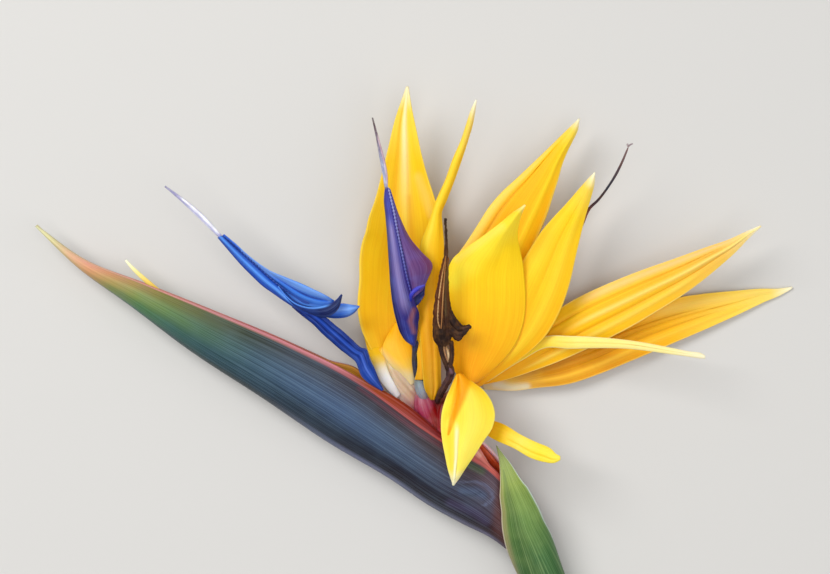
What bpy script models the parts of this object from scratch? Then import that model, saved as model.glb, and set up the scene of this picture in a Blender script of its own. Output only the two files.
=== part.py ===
"""Bird of paradise flower, cut and laid on its side on a flat surface.

The row stands on Z = 0 with its origin under the middle of its bounding box. Every piece is placed
from JUNCTION, the point where the beak-like spathe meets the stalk, in millimetres: X runs away from
the beak's point, Y runs from the stalk towards the petals, and Z is the height above the surface.
"""
import math

import bmesh
import bpy
import numpy as np
from mathutils import Vector

MM = 0.001
COLLECTION = "bird_of_paradise_flower"
CUT_LINE = 1e-6

# Where the spathe meets the stalk, in the row's frame.
JUNCTION = (28.7, -7.0, 0.0)

# Wall thicknesses.
SEPAL_WALL = 0.9
ARROW_WALL = 1.0
STIGMA_WALL = 1.2
BRACT_WALL = 0.8
SPATHE_WALL = 1.2
SPATHE_TIP_WALL = 0.25
SHEATH_WALL = 0.8

# Mesh density.
SEPAL_STEPS = (14, 4)
ARROW_STEPS = (18, 4)
STIGMA_STEPS = (5, 2)
SPATHE_STEPS = (26, 12)
SHEATH_STEPS = (16, 10)
STALK_STEPS = 7
STEM_STEPS = 12
STYLE_STEPS = 10

# The spathe lies with its plane of symmetry at this height.
SPATHE_PLANE = 10.0
# Rows from the stalk to the point: keel x, y, lip x, y, half thickness, half gap of the mouth.
SPATHE_ROWS = (
    (1.5, -2.0, 12.5, 3.0, 5.0, 2.0),
    (-4.5, 2.5, 4.5, 14.5, 6.0, 4.4),
    (-13.5, 7.0, -3.5, 25.0, 8.4, 6.2),
    (-24.5, 13.0, -14.5, 32.0, 9.4, 7.2),
    (-37.0, 21.5, -26.5, 40.0, 9.9, 7.8),
    (-56.5, 33.0, -45.5, 53.5, 9.95, 7.0),
    (-78.0, 47.5, -68.5, 65.0, 9.4, 5.5),
    (-101.0, 62.5, -93.5, 75.5, 7.6, 4.0),
    (-121.0, 77.5, -116.0, 84.5, 5.2, 2.8),
    (-137.5, 89.5, -135.0, 92.0, 2.6, 1.6),
    (-151.0, 102.5, -150.5, 103.0, 0.8, 0.5),
)

# Rows from the foot to the tip: x, y, height, half width to the left, half width to the right.
SEPALS = {
    "sepal_1a": {
        "rows": (
            (-34.5, 53.0, 5.0, 3.0, 3.0),
            (-34.5, 58.5, 5.0, 6.4, 6.4),
            (-34.5, 66.0, 5.0, 10.6, 9.6),
            (-34.5, 75.0, 5.0, 13.0, 12.0),
            (-34.0, 85.5, 5.5, 13.0, 12.6),
            (-33.5, 92.0, 6.0, 13.4, 13.2),
            (-32.5, 99.5, 7.0, 12.8, 12.6),
            (-32.5, 105.5, 8.0, 11.6, 11.6),
            (-32.5, 111.0, 9.0, 9.6, 10.0),
            (-32.5, 119.0, 10.5, 7.4, 7.4),
            (-32.5, 127.0, 12.5, 5.4, 5.2),
            (-32.5, 136.5, 14.5, 3.0, 3.2),
            (-32.0, 142.0, 16.0, 1.6, 1.6),
            (-31.5, 147.0, 17.0, 0.3, 0.3),
        ),
        "curl": (30, 30),
    },
    "sepal_1b": {
        "rows": (
            (-31.5, 53.5, 9.0, 1.5, 1.5),
            (-33.0, 59.0, 9.5, 4.0, 3.0),
            (-34.0, 64.5, 10.0, 4.5, 3.5),
            (-33.0, 71.0, 10.5, 2.5, 2.0),
            (-31.5, 77.5, 11.0, 0.4, 0.4),
        ),
        "curl": (10, 10),
    },
    "sepal_1c": {
        "rows": (
            (-23.5, 48.0, 17.0, 1.2, 1.4),
            (-24.0, 52.0, 17.0, 2.8, 2.8),
            (-24.0, 57.5, 17.0, 4.2, 3.8),
            (-24.5, 65.0, 16.5, 4.0, 3.2),
            (-24.5, 76.0, 15.5, 3.8, 3.8),
            (-24.5, 85.5, 15.0, 3.6, 3.8),
            (-24.0, 93.5, 15.0, 3.8, 3.6),
            (-23.0, 101.5, 15.5, 2.4, 2.8),
            (-20.5, 111.0, 17.0, 1.4, 1.4),
            (-19.0, 117.0, 19.0, 1.0, 1.2),
            (-16.5, 123.5, 21.5, 1.0, 1.0),
            (-14.5, 129.5, 24.0, 1.0, 1.0),
            (-12.5, 135.5, 27.0, 0.8, 0.8),
            (-10.0, 141.5, 30.0, 0.3, 0.3),
        ),
        "curl": (-30, -30),
    },
    "sepal_2a": {
        "rows": (
            (-10.0, 55.0, 8.5, 1.6, 1.6),
            (-8.5, 69.5, 10.5, 6.4, 6.4),
            (-5.5, 82.0, 12.0, 9.6, 9.6),
            (-3.0, 93.0, 13.0, 10.0, 10.0),
            (0.5, 100.5, 13.0, 9.0, 9.0),
            (5.0, 107.0, 13.0, 7.8, 7.8),
            (9.5, 114.5, 13.0, 6.0, 5.8),
            (14.0, 122.0, 13.0, 4.0, 3.8),
            (19.0, 129.5, 12.5, 2.2, 2.2),
            (21.5, 134.0, 12.0, 1.2, 1.2),
            (23.5, 137.5, 12.0, 0.3, 0.3),
        ),
        "curl": (-20, -20),
    },
    "sepal_2b": {
        "rows": (
            (-13.5, 54.0, 15.5, 2.6, 2.6),
            (-11.5, 60.0, 17.0, 5.8, 7.0),
            (-9.0, 68.0, 19.5, 8.2, 10.8),
            (-6.5, 76.0, 22.0, 9.8, 12.0),
            (-6.5, 84.0, 24.0, 12.0, 11.6),
            (-6.0, 89.0, 25.0, 11.8, 10.6),
            (-4.5, 94.0, 26.0, 8.4, 8.4),
            (-3.0, 98.0, 27.0, 6.2, 6.0),
            (0.0, 102.5, 28.0, 4.2, 3.8),
            (3.0, 106.5, 29.0, 2.0, 1.8),
            (5.5, 109.0, 30.0, 0.3, 0.3),
        ),
        "curl": (-28, -28),
    },
    "sepal_2c": {
        "rows": (
            (-10.5, 54.0, 12.5, 1.6, 1.6),
            (-2.0, 60.5, 13.5, 4.4, 4.4),
            (4.5, 67.0, 15.0, 7.0, 7.0),
            (8.5, 74.5, 16.5, 8.6, 8.2),
            (11.0, 82.0, 17.5, 8.8, 9.0),
            (13.5, 91.0, 18.5, 8.0, 8.0),
            (16.5, 98.5, 19.5, 6.4, 6.4),
            (20.0, 104.0, 20.5, 4.8, 4.8),
            (23.0, 110.0, 22.5, 3.0, 3.0),
            (25.5, 115.0, 24.0, 1.4, 1.4),
            (27.5, 119.5, 25.5, 0.3, 0.3),
        ),
        "fold": (-8, -8),
        "curl": (-10, -10),
    },
    "sepal_3a": {
        "rows": (
            (-9.0, 52.5, 6.5, 1.2, 1.2),
            (0.0, 56.5, 7.0, 3.2, 3.2),
            (11.0, 63.5, 8.0, 6.4, 6.4),
            (24.0, 71.0, 9.0, 8.0, 8.0),
            (37.0, 77.5, 10.0, 7.8, 7.8),
            (46.0, 82.0, 11.0, 7.0, 7.0),
            (55.0, 86.5, 12.5, 5.8, 5.8),
            (65.5, 92.5, 15.0, 3.8, 3.8),
            (72.0, 96.5, 17.0, 2.2, 2.2),
            (76.0, 99.5, 18.2, 1.2, 1.2),
            (80.5, 102.5, 19.5, 0.3, 0.3),
        ),
        "fold": (-10, -10),
        "curl": (-5, -5),
    },
    "sepal_3b": {
        "rows": (
            (-7.5, 51.0, 4.0, 1.2, 1.0),
            (0.5, 54.0, 4.0, 3.8, 4.6),
            (9.0, 56.0, 4.0, 5.8, 5.6),
            (18.5, 58.5, 3.8, 7.2, 7.0),
            (28.0, 62.0, 3.5, 7.8, 7.4),
            (38.0, 66.5, 3.1, 7.8, 7.8),
            (51.5, 71.5, 2.6, 7.2, 7.2),
            (65.0, 75.5, 2.0, 5.6, 5.6),
            (74.5, 78.0, 1.5, 4.0, 4.0),
            (83.5, 80.5, 1.0, 2.2, 2.4),
            (89.0, 81.5, 0.7, 1.2, 1.2),
            (93.5, 83.0, 0.6, 0.3, 0.3),
        ),
        "curl": (8, 8),
    },
    "sepal_3c": {
        "rows": (
            (-6.5, 53.5, 10.5, 1.0, 1.0),
            (4.5, 61.0, 11.0, 1.4, 1.4),
            (12.5, 65.5, 12.0, 1.8, 1.8),
            (20.5, 65.5, 13.5, 2.0, 2.0),
            (26.5, 65.5, 15.0, 1.8, 1.8),
            (39.0, 65.0, 17.5, 1.2, 1.4),
            (51.5, 63.0, 20.0, 1.0, 1.0),
            (57.5, 62.0, 21.5, 0.8, 0.8),
            (61.0, 61.5, 22.0, 0.8, 0.8),
            (62.5, 61.0, 22.5, 0.4, 0.4),
        ),
        "curl": (-30, -30),
    },
    "sepal_4a": {
        "rows": (
            (-15.0, 54.5, 23.0, 1.0, 1.0),
            (-14.5, 52.5, 24.0, 3.4, 3.2),
            (-13.0, 51.0, 25.0, 5.8, 5.6),
            (-12.5, 48.5, 26.0, 7.6, 7.6),
            (-12.5, 45.5, 26.8, 8.4, 8.4),
            (-13.0, 41.5, 27.0, 8.2, 8.2),
            (-14.0, 37.0, 27.0, 6.8, 6.8),
            (-15.5, 32.0, 26.5, 4.4, 4.4),
            (-16.5, 27.5, 26.0, 2.8, 2.8),
            (-17.0, 24.0, 25.5, 1.4, 1.4),
            (-17.0, 21.0, 25.0, 0.3, 0.3),
        ),
        "curl": (25, 25),
    },
    "sepal_4b": {
        "rows": (
            (-8.0, 39.5, 18.5, 2.0, 2.0),
            (-3.0, 37.5, 20.0, 2.8, 2.8),
            (3.0, 34.5, 22.0, 2.4, 2.4),
            (9.0, 31.5, 24.0, 2.6, 2.6),
            (12.0, 30.5, 25.0, 2.4, 2.4),
            (14.5, 29.5, 25.8, 1.6, 1.6),
            (16.5, 29.5, 26.3, 0.6, 0.6),
        ),
        "curl": (-25, -25),
    },
}

# Rows from the foot to the end: x, y, height, half width left, half width right.
ARROWS = {
    "arrow_1": {
        "rows": (
            (-39.5, 50.5, 12.0, 1.6, 1.6),
            (-45.0, 57.5, 13.5, 2.0, 2.0),
            (-53.0, 68.0, 15.5, 2.2, 2.0),
            (-58.5, 72.0, 17.0, 2.2, 2.2),
            (-60.5, 74.5, 17.5, 2.8, 7.0),
            (-64.5, 78.5, 18.5, 3.8, 5.8),
            (-70.5, 83.0, 19.5, 4.0, 4.4),
            (-78.0, 89.0, 20.5, 3.0, 3.2),
            (-84.5, 94.5, 21.5, 2.0, 2.2),
            (-91.0, 99.5, 22.5, 1.2, 1.2),
        ),
        "fold": (-25, -15),
        "sweep": (0.2, 0.9),
    },
    "arrow_2": {
        "rows": (
            (-29.0, 53.5, 11.5, 0.6, 0.6),
            (-29.5, 62.5, 14.0, 1.0, 0.8),
            (-30.5, 66.5, 16.5, 2.2, 1.2),
            (-31.0, 72.5, 19.0, 4.0, 2.6),
            (-32.0, 80.5, 21.0, 4.8, 3.8),
            (-32.0, 88.0, 22.5, 4.8, 7.0),
            (-32.5, 93.5, 23.5, 4.8, 5.6),
            (-34.5, 102.5, 25.0, 3.4, 2.6),
            (-36.5, 109.0, 26.0, 2.0, 1.8),
            (-37.5, 114.0, 27.0, 1.0, 1.0),
        ),
        "fold": (-20, -20),
        "sweep": (0.3, 0.3),
    },
    "arrow_3": {
        "rows": (
            (-22.0, 47.5, 18.7, 1.0, 1.0),
            (-19.5, 54.0, 20.5, 1.2, 1.2),
            (-18.5, 57.0, 22.0, 1.6, 1.2),
            (-19.5, 61.0, 23.5, 1.2, 1.2),
            (-18.5, 66.5, 26.0, 2.6, 2.8),
            (-19.0, 71.0, 28.0, 4.0, 4.4),
            (-20.0, 78.0, 30.0, 2.8, 2.8),
            (-20.5, 85.5, 31.5, 1.2, 1.6),
            (-19.5, 92.5, 32.5, 0.6, 0.6),
            (-19.5, 105.0, 34.0, 0.4, 0.4),
        ),
        "fold": (-25, -25),
        "sweep": (0.3, 0.3),
    },
}

# Narrow blades, in the same rows as the arrows.
STIGMAS = {
    "stigma_1": (
        (-92.0, 100.5, 22.7, 1.0, 1.0),
        (-95.5, 103.5, 23.0, 1.4, 1.4),
        (-100.5, 108.5, 23.5, 1.0, 1.0),
        (-108.0, 115.0, 24.5, 0.3, 0.3),
    ),
    "stigma_2": (
        (-38.0, 115.5, 27.3, 0.8, 0.8),
        (-38.5, 120.5, 28.0, 1.0, 1.0),
        (-40.0, 127.5, 30.0, 1.0, 1.0),
        (-42.5, 136.0, 32.5, 0.3, 0.3),
    ),
}
BRACTS = {
    "bud_tip": (
        (-107.5, 79.5, 10.0, 0.8, 0.8),
        (-115.0, 85.5, 10.0, 1.0, 1.0),
        (-118.5, 88.5, 10.0, 1.0, 1.0),
        (-122.5, 92.0, 10.0, 0.3, 0.3),
    ),
    "inner_bract": (
        (0.0, 20.5, 9.0, 1.5, 1.5),
        (-3.0, 25.5, 9.5, 3.0, 3.0),
        (-6.0, 30.5, 10.0, 2.0, 2.0),
        (-9.0, 34.0, 10.5, 0.3, 0.3),
    ),
}

# Round stalks, from the foot to the end: x, y, height, radius.
STALKS = {
    "floret_1_base": (
        (-22.5, 26.5, 7.5, 1.8),
        (-27.5, 35.5, 9.5, 2.8),
        (-30.0, 40.5, 9.0, 3.2),
        (-32.0, 46.5, 9.0, 4.0),
        (-34.0, 51.0, 9.0, 3.4),
    ),
    "floret_2_base": (
        (-18.5, 25.5, 14.0, 1.7),
        (-21.5, 31.5, 12.5, 2.2),
        (-23.5, 37.5, 13.0, 2.6),
        (-25.5, 44.0, 13.5, 2.6),
        (-26.0, 46.5, 13.5, 2.2),
    ),
    "floret_3_base": (
        (-12.0, 20.5, 7.5, 1.7),
        (-15.0, 27.0, 8.0, 2.2),
        (-17.5, 35.0, 7.5, 2.5),
        (-16.0, 43.0, 7.5, 2.6),
        (-12.0, 49.0, 8.0, 2.4),
    ),
    "floret_4_base": (
        (-10.5, 22.0, 11.0, 1.6),
        (-11.5, 26.5, 11.5, 1.8),
        (-13.0, 31.5, 13.5, 2.4),
        (-13.0, 40.5, 17.0, 2.6),
        (-12.5, 47.0, 19.5, 2.2),
    ),
    "nectary_1": (
        (-26.5, 48.8, 13.5, 0.8),
        (-26.7, 50.3, 13.5, 1.4),
        (-27.0, 52.0, 13.5, 1.5),
        (-27.5, 54.0, 13.5, 0.8),
    ),
}
STYLE_ROWS = (
    (-5.0, 59.0, 11.0, 0.6),
    (-2.0, 64.5, 11.7, 0.6),
    (17.0, 91.0, 15.0, 0.6),
    (26.0, 107.0, 17.0, 0.5),
    (29.5, 112.5, 18.0, 0.4),
    (35.0, 120.0, 20.0, 0.4),
    (39.5, 128.5, 23.0, 0.4),
)
STEM_ROWS = (
    (6.8, 2.5, 10.0, 2.8),
    (7.6, 0.5, 9.9, 2.9),
    (9.2, -4.0, 9.5, 4.0),
    (11.2, -9.0, 9.0, 5.0),
    (17.2, -23.0, 7.8, 5.2),
    (37.0, -72.5, 6.0, 5.2),
    (59.0, -131.0, 5.2, 5.2),
)
# The sheath round the stalk: x, y, axis height, radius, degrees round to the left, to the right.
SHEATH_ROWS = (
    (30.5, -56.5, 6.4, 6.4, 150, 150),
    (22.5, -36.0, 7.2, 6.4, 135, 135),
    (15.5, -18.5, 8.2, 6.4, 110, 125),
    (10.7, -7.0, 9.4, 6.5, 95, 115),
    (7.6, 0.8, 10.2, 7.8, 60, 56),
    (5.5, 6.0, 7.7, 11.0, 33, 39),
    (3.8, 12.0, 6.4, 12.4, 25, 29),
    (1.5, 18.5, 6.8, 12.0, 18, 24),
    (-1.0, 27.0, 8.3, 10.0, 9, 13),
    (-3.5, 33.5, 9.0, 8.0, 3, 3),
)

# Colour, roughness.
FINISHES = {
    "sepal": ((0.95, 0.52, 0.01), 0.45),
    "arrow_1": ((0.02, 0.10, 0.62), 0.45),
    "arrow_2": ((0.10, 0.05, 0.30), 0.55),
    "arrow_3": ((0.06, 0.02, 0.01), 0.60),
    "stigma": ((0.66, 0.62, 0.85), 0.50),
    "spathe": ((0.06, 0.10, 0.11), 0.45),
    "bract": ((0.70, 0.16, 0.12), 0.45),
    "floret": ((0.75, 0.45, 0.40), 0.50),
    "nectary": ((0.55, 0.60, 0.66), 0.35),
    "style": ((0.10, 0.04, 0.03), 0.60),
    "sheath": ((0.25, 0.42, 0.13), 0.45),
    "stem": ((0.14, 0.30, 0.10), 0.45),
}


def clear_scene():
    """Removes every object that the file opened with."""
    for item in list(bpy.data.objects):
        bpy.data.objects.remove(item)


def finish(name, kind):
    """A material of its own for one piece."""
    colour, roughness = FINISHES[kind]
    material = bpy.data.materials.new(name)
    material.use_nodes = True
    shader = material.node_tree.nodes["Principled BSDF"]
    shader.inputs["Base Color"].default_value = (*colour, 1.0)
    shader.inputs["Roughness"].default_value = roughness
    return material


def smooth_rows(rows, count):
    """The rows of a table, read at even steps from a smooth curve through them."""
    table = np.asarray(rows, dtype=float)
    spans = np.linalg.norm(np.diff(table[:, :3], axis=0), axis=1)
    knots = np.concatenate([[0.0], np.cumsum(spans)]) / spans.sum()
    slopes = np.gradient(table, knots, axis=0)
    places = np.linspace(0.0, 1.0, count)
    left = np.clip(np.searchsorted(knots, places, side="right") - 1, 0, len(knots) - 2)
    width = (knots[left + 1] - knots[left])[:, None]
    t = (places[:, None] - knots[left][:, None]) / width
    start = (2 * t**3 - 3 * t**2 + 1) * table[left] + (t**3 - 2 * t**2 + t) * width * slopes[left]
    end = (3 * t**2 - 2 * t**3) * table[left + 1] + (t**3 - t**2) * width * slopes[left + 1]
    return start + end


def along(points):
    """Unit directions along a row of points, to the left of it and out of the surface."""
    forward = np.gradient(points, axis=0)
    forward /= np.linalg.norm(forward, axis=1)[:, None]
    side = np.cross((0.0, 0.0, 1.0), forward)
    side /= np.linalg.norm(side, axis=1)[:, None]
    return forward, side, np.cross(forward, side)


def bent_arm(fold, curl, s):
    """Reach and rise at s of a half blade that folds up at its root and curls to its edge."""
    start = math.radians(fold)
    turn = math.radians(curl)
    if abs(turn) < CUT_LINE:
        reach, rise, full = s * math.cos(start), s * math.sin(start), math.cos(start)
    else:
        reach = (math.sin(start + turn * s) - math.sin(start)) / turn
        rise = (math.cos(start) - math.cos(start + turn * s)) / turn
        full = (math.sin(start + turn) - math.sin(start)) / turn
    return reach / full, rise / full


def blade_points(rows, steps, fold=(0, 0), curl=(0, 0), sweep=(0, 0)):
    """Points of a blade: a bent section carried along a smooth midrib."""
    table = smooth_rows(rows, steps[0] + 1)
    middle = table[:, :3]
    forward, side, out = along(middle)
    points = np.empty((steps[0] + 1, steps[1] + 1, 3))
    for column in range(steps[1] + 1):
        place = 1.0 - 2.0 * column / steps[1]
        wing = 0 if place >= 0 else 1
        reach, rise = bent_arm(fold[wing], curl[wing], abs(place))
        half = np.maximum(table[:, 3 + wing], 0.3)[:, None]
        back = sweep[wing] * abs(place) ** 2
        across = math.copysign(reach, place)
        points[:, column] = middle + half * (across * side + rise * out - back * forward)
    return points


def trough_points(rows, steps):
    """Points of the spathe: a keeled section that bulges and draws in again to its two lips."""
    flat = [(kx, ky, 0.0, lx, ly, half, gap) for kx, ky, lx, ly, half, gap in rows]
    table = smooth_rows(flat, steps[0] + 1)
    points = np.empty((steps[0] + 1, steps[1] + 1, 3))
    for row, (kx, ky, _, lx, ly, half, gap) in enumerate(table):
        end = math.pi - math.asin(min(gap / half, 1.0))
        for column in range(steps[1] + 1):
            angle = end * (1.0 - 2.0 * column / steps[1])
            up = (1.0 - math.cos(angle)) / (1.0 - math.cos(end))
            height = SPATHE_PLANE + half * math.sin(angle)
            points[row, column] = (kx + up * (lx - kx), ky + up * (ly - ky), height)
    return points


def wrap_points(rows, steps):
    """Points of a sheet wrapped round an axis, by the angles that it reaches on each side."""
    table = smooth_rows(rows, steps[0] + 1)
    middle = table[:, :3]
    _, side, out = along(middle)
    points = np.empty((steps[0] + 1, steps[1] + 1, 3))
    for column in range(steps[1] + 1):
        share = column / steps[1]
        angle = np.radians(table[:, 4] * (1.0 - share) - table[:, 5] * share)[:, None]
        radius = table[:, 3][:, None]
        points[:, column] = middle + radius * (np.sin(angle) * side + np.cos(angle) * out)
    return points


def place(point):
    """A point in the row's frame, in metres, from its millimetres at the junction."""
    return Vector([(value + offset) * MM for value, offset in zip(point, JUNCTION)])


def add_sheet(name, kind, points, wall, offset, collection):
    """A closed wall on a grid of points, with the Solidify modifier for its thickness."""
    rows, columns = points.shape[0] - 1, points.shape[1] - 1
    mesh = bpy.data.meshes.new(name)
    bm = bmesh.new()
    bmesh.ops.create_grid(bm, x_segments=rows, y_segments=columns, size=1.0)
    for vertex in bm.verts:
        row = round((vertex.co.x + 1.0) / 2.0 * rows)
        column = round((vertex.co.y + 1.0) / 2.0 * columns)
        vertex.co = place(points[row, column])
    bm.to_mesh(mesh)
    bm.free()
    mesh.shade_smooth()
    item = bpy.data.objects.new(name, mesh)
    item.data.materials.append(finish(name, kind))
    collection.objects.link(item)
    solidify = item.modifiers.new("wall", "SOLIDIFY")
    solidify.thickness = wall * MM
    solidify.offset = offset
    return item


def thin_towards_tip(item, wall, tip_wall):
    """Lets the wall of a sheet thin down from its middle to its point."""
    group = item.vertex_groups.new(name="wall")
    xs = [vertex.co.x for vertex in item.data.vertices]
    low, high = min(xs), max(xs)
    for vertex in item.data.vertices:
        share = min(1.0, 2.0 * (vertex.co.x - low) / (high - low))
        weight = (tip_wall + (wall - tip_wall) * share) / wall
        group.add([vertex.index], weight, "REPLACE")
    item.modifiers["wall"].vertex_group = group.name


def add_stalk(name, kind, rows, count, sides, collection):
    """A round stalk: a curve with a bevel and filled caps, its radius following the rows."""
    table = smooth_rows(rows, count)
    curve = bpy.data.curves.new(name, "CURVE")
    curve.dimensions = "3D"
    curve.bevel_depth = MM
    curve.bevel_resolution = sides
    curve.use_fill_caps = True
    spline = curve.splines.new("POLY")
    spline.points.add(count - 1)
    for point, row in zip(spline.points, table):
        point.co = (*place(row[:3]), 1.0)
        point.radius = row[3]
    item = bpy.data.objects.new(name, curve)
    item.data.materials.append(finish(name, kind))
    collection.objects.link(item)
    return item


def build():
    """Makes the flower."""
    clear_scene()
    parts = bpy.data.collections.new(COLLECTION)
    bpy.context.scene.collection.children.link(parts)

    spathe = add_sheet("spathe", "spathe", trough_points(SPATHE_ROWS, SPATHE_STEPS), SPATHE_WALL, -1.0, parts)
    thin_towards_tip(spathe, SPATHE_WALL, SPATHE_TIP_WALL)
    add_sheet("stem_sheath", "sheath", wrap_points(SHEATH_ROWS, SHEATH_STEPS), SHEATH_WALL, 0.0, parts)
    add_stalk("stem", "stem", STEM_ROWS, STEM_STEPS, 3, parts)
    add_stalk("style_4", "style", STYLE_ROWS, STYLE_STEPS, 2, parts)
    for name, rows in STALKS.items():
        kind = "nectary" if name.startswith("nectary") else "floret"
        add_stalk(name, kind, rows, STALK_STEPS, 2, parts)
    for name, sepal in SEPALS.items():
        points = blade_points(sepal["rows"], SEPAL_STEPS, sepal.get("fold", (0, 0)), sepal["curl"])
        add_sheet(name, "sepal", points, SEPAL_WALL, 0.0, parts)
    for name, arrow in ARROWS.items():
        points = blade_points(arrow["rows"], ARROW_STEPS, arrow["fold"], sweep=arrow["sweep"])
        add_sheet(name, name, points, ARROW_WALL, 0.0, parts)
    for name, rows in STIGMAS.items():
        add_sheet(name, "stigma", blade_points(rows, STIGMA_STEPS), STIGMA_WALL, 0.0, parts)
    for name, rows in BRACTS.items():
        kind = "sepal" if name == "bud_tip" else "bract"
        add_sheet(name, kind, blade_points(rows, STIGMA_STEPS), BRACT_WALL, 0.0, parts)


build()
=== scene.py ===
"""Looks of a cut bird of paradise flower, laid on its side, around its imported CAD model.

Shapes are in millimetres from the junction where the beak-like spathe meets the stalk, as in the CAD:
X runs away from the beak's point, Y from the stalk towards the petals, Z up from the surface.
"""
import logging
import math
from dataclasses import dataclass, field
from enum import Enum
from typing import Any

import bpy
import numpy as np
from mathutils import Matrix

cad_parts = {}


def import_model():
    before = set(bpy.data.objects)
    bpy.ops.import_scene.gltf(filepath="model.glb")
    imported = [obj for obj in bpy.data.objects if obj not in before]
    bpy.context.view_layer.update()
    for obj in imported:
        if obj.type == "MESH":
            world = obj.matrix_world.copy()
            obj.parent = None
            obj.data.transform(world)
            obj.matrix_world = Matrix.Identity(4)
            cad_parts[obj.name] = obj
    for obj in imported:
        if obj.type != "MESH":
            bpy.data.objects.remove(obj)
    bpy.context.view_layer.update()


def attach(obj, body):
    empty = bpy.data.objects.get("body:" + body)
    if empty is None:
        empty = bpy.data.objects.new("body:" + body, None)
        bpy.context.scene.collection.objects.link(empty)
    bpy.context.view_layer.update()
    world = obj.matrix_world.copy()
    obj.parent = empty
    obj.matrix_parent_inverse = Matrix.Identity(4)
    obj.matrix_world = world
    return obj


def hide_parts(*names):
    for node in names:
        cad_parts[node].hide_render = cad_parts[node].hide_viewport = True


logging.basicConfig(level=logging.INFO, format="%(message)s")
log = logging.getLogger("bird_of_paradise")

MM = 0.001
BODY = "root"
# Where the spathe meets the stalk, in the row's frame, in millimetres.
JUNCTION = np.array((28.7, -7.0, 0.0))
# The spathe's plane of symmetry, and the least height of any tissue above the surface.
SPATHE_PLANE = 10.0
LEAST_HEIGHT = 0.3
# The least half width of a blade, which keeps its point from closing to a line.
LEAST_HALF_WIDTH = 0.12
# Narrower than this, a sheet's ridges and bulge fade out.
NARROW_HALF, NARROW_EDGE, NARROW_PANEL = 2.0, 3.0, 3.0
# How far the waves of a blade's right edge run ahead of its left edge, as a share of a turn.
WAVE_LEAD = 0.17
# The size of the wrinkles of dried tissue, in millimetres.
CRUMPLE_SIZE = 1.5
# The turn, in radians, that stands for none where it is divided by.
NO_TURN = 1e-6
# Where the far and the near lip of the spathe begin to rise, as a share of the way round from the keel.
FAR_LIP_START, NEAR_LIP_START = 0.7, 0.945
# A rounded end closes over this many rings; a cut end has a small bevel on the ring before its rim.
ROUNDED_RINGS = 4.0
BEVEL = 0.94
# Points of a tube's seam and poles that lie closer than this, in metres, are merged.
MERGE_DISTANCE = 0.000002

Rows = tuple[tuple[float, ...], ...]
# Colours along a piece: percent of the way from its foot to its tip, and the sRGB hex code there.
Ramp = dict[int, str]
Grid = np.ndarray
Object = bpy.types.Object


def linear(code: str) -> tuple[float, float, float, float]:
    """Turns an sRGB hex code into a linear colour.

    Args:
        code: The colour as "#RRGGBB".

    Returns:
        Linear red, green, blue and a full alpha.
    """
    parts = [int(code[start:start + 2], 16) / 255 for start in (1, 3, 5)]
    red, green, blue = (part / 12.92 if part <= 0.04045 else ((part + 0.055) / 1.055) ** 2.4
                        for part in parts)
    return red, green, blue, 1.0


def fade(values: Grid, start: float, end: float) -> Grid:
    """Goes smoothly from 0 at start to 1 at end."""
    share = np.clip((values - start) / (end - start), 0, 1)
    return share * share * (3 - 2 * share)


def hump(values: Grid, start: float, end: float) -> Grid:
    """Goes smoothly from 0 at start to 1 half way, and back to 0 at end."""
    middle = (start + end) / 2
    return fade(values, start, middle) * (1 - fade(values, middle, end))


def blend(below: Grid, above: Grid, cover: Grid) -> Grid:
    """Lays one colour over another, as much as the cover says."""
    return below * (1 - cover[..., None]) + above * cover[..., None]


def read_ramp(ramp: Ramp, places: Grid) -> Grid:
    """Reads a row of colours at some places.

    Args:
        ramp: The colours.
        places: Where to read it, from 0 to 1.

    Returns:
        Linear colours, with red, green and blue on a last axis.
    """
    knots = [percent / 100 for percent in ramp]
    colours = np.array([linear(code)[:3] for code in ramp.values()])
    return np.stack([np.interp(places, knots, colours[:, band]) for band in range(3)], axis=-1)


def smooth_rows(rows: Rows, count: int) -> Grid:
    """Reads a table of rows at even steps along a smooth curve through them.

    Args:
        rows: The table; the first three numbers of a row are its place.
        count: How many rows to give back.

    Returns:
        The smoothed table.
    """
    table = np.asarray(rows, dtype=float)
    spans = np.linalg.norm(np.diff(table[:, :3], axis=0), axis=1)
    knots = np.concatenate([[0.0], np.cumsum(spans)]) / spans.sum()
    slopes = np.gradient(table, knots, axis=0)
    places = np.linspace(0, 1, count)
    left = np.clip(np.searchsorted(knots, places, side="right") - 1, 0, len(knots) - 2)
    width = (knots[left + 1] - knots[left])[:, None]
    way = (places[:, None] - knots[left][:, None]) / width
    start = (2 * way**3 - 3 * way**2 + 1) * table[left] + (way**3 - 2 * way**2 + way) * width * slopes[left]
    end = (3 * way**2 - 2 * way**3) * table[left + 1] + (way**3 - way**2) * width * slopes[left + 1]
    return start + end


def along(points: Grid) -> tuple[Grid, Grid, Grid]:
    """Finds the directions of a row of points.

    Args:
        points: The row of points.

    Returns:
        Unit directions forward, to the left, and out of the surface, at each point.
    """
    forward = np.gradient(points, axis=0)
    forward /= np.linalg.norm(forward, axis=1)[:, None]
    side = np.cross((0, 0, 1), forward)
    side /= np.linalg.norm(side, axis=1)[:, None]
    return forward, side, np.cross(forward, side)


def bent_arm(fold: float, curl: float, share: Grid) -> tuple[Grid, Grid]:
    """Bends the half of a blade, from its midrib to its edge.

    Args:
        fold: The angle at the midrib, in degrees.
        curl: How far it turns on its way to the edge, in degrees.
        share: Places from the midrib, 0, to the edge, 1.

    Returns:
        Reach and rise, in half widths as seen from above.
    """
    start = math.radians(fold)
    turn = math.radians(curl) or NO_TURN
    full = (math.sin(start + turn) - math.sin(start)) / turn
    reach = (np.sin(start + turn * share) - math.sin(start)) / turn
    rise = (math.cos(start) - np.cos(start + turn * share)) / turn
    return reach / full, rise / full


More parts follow.
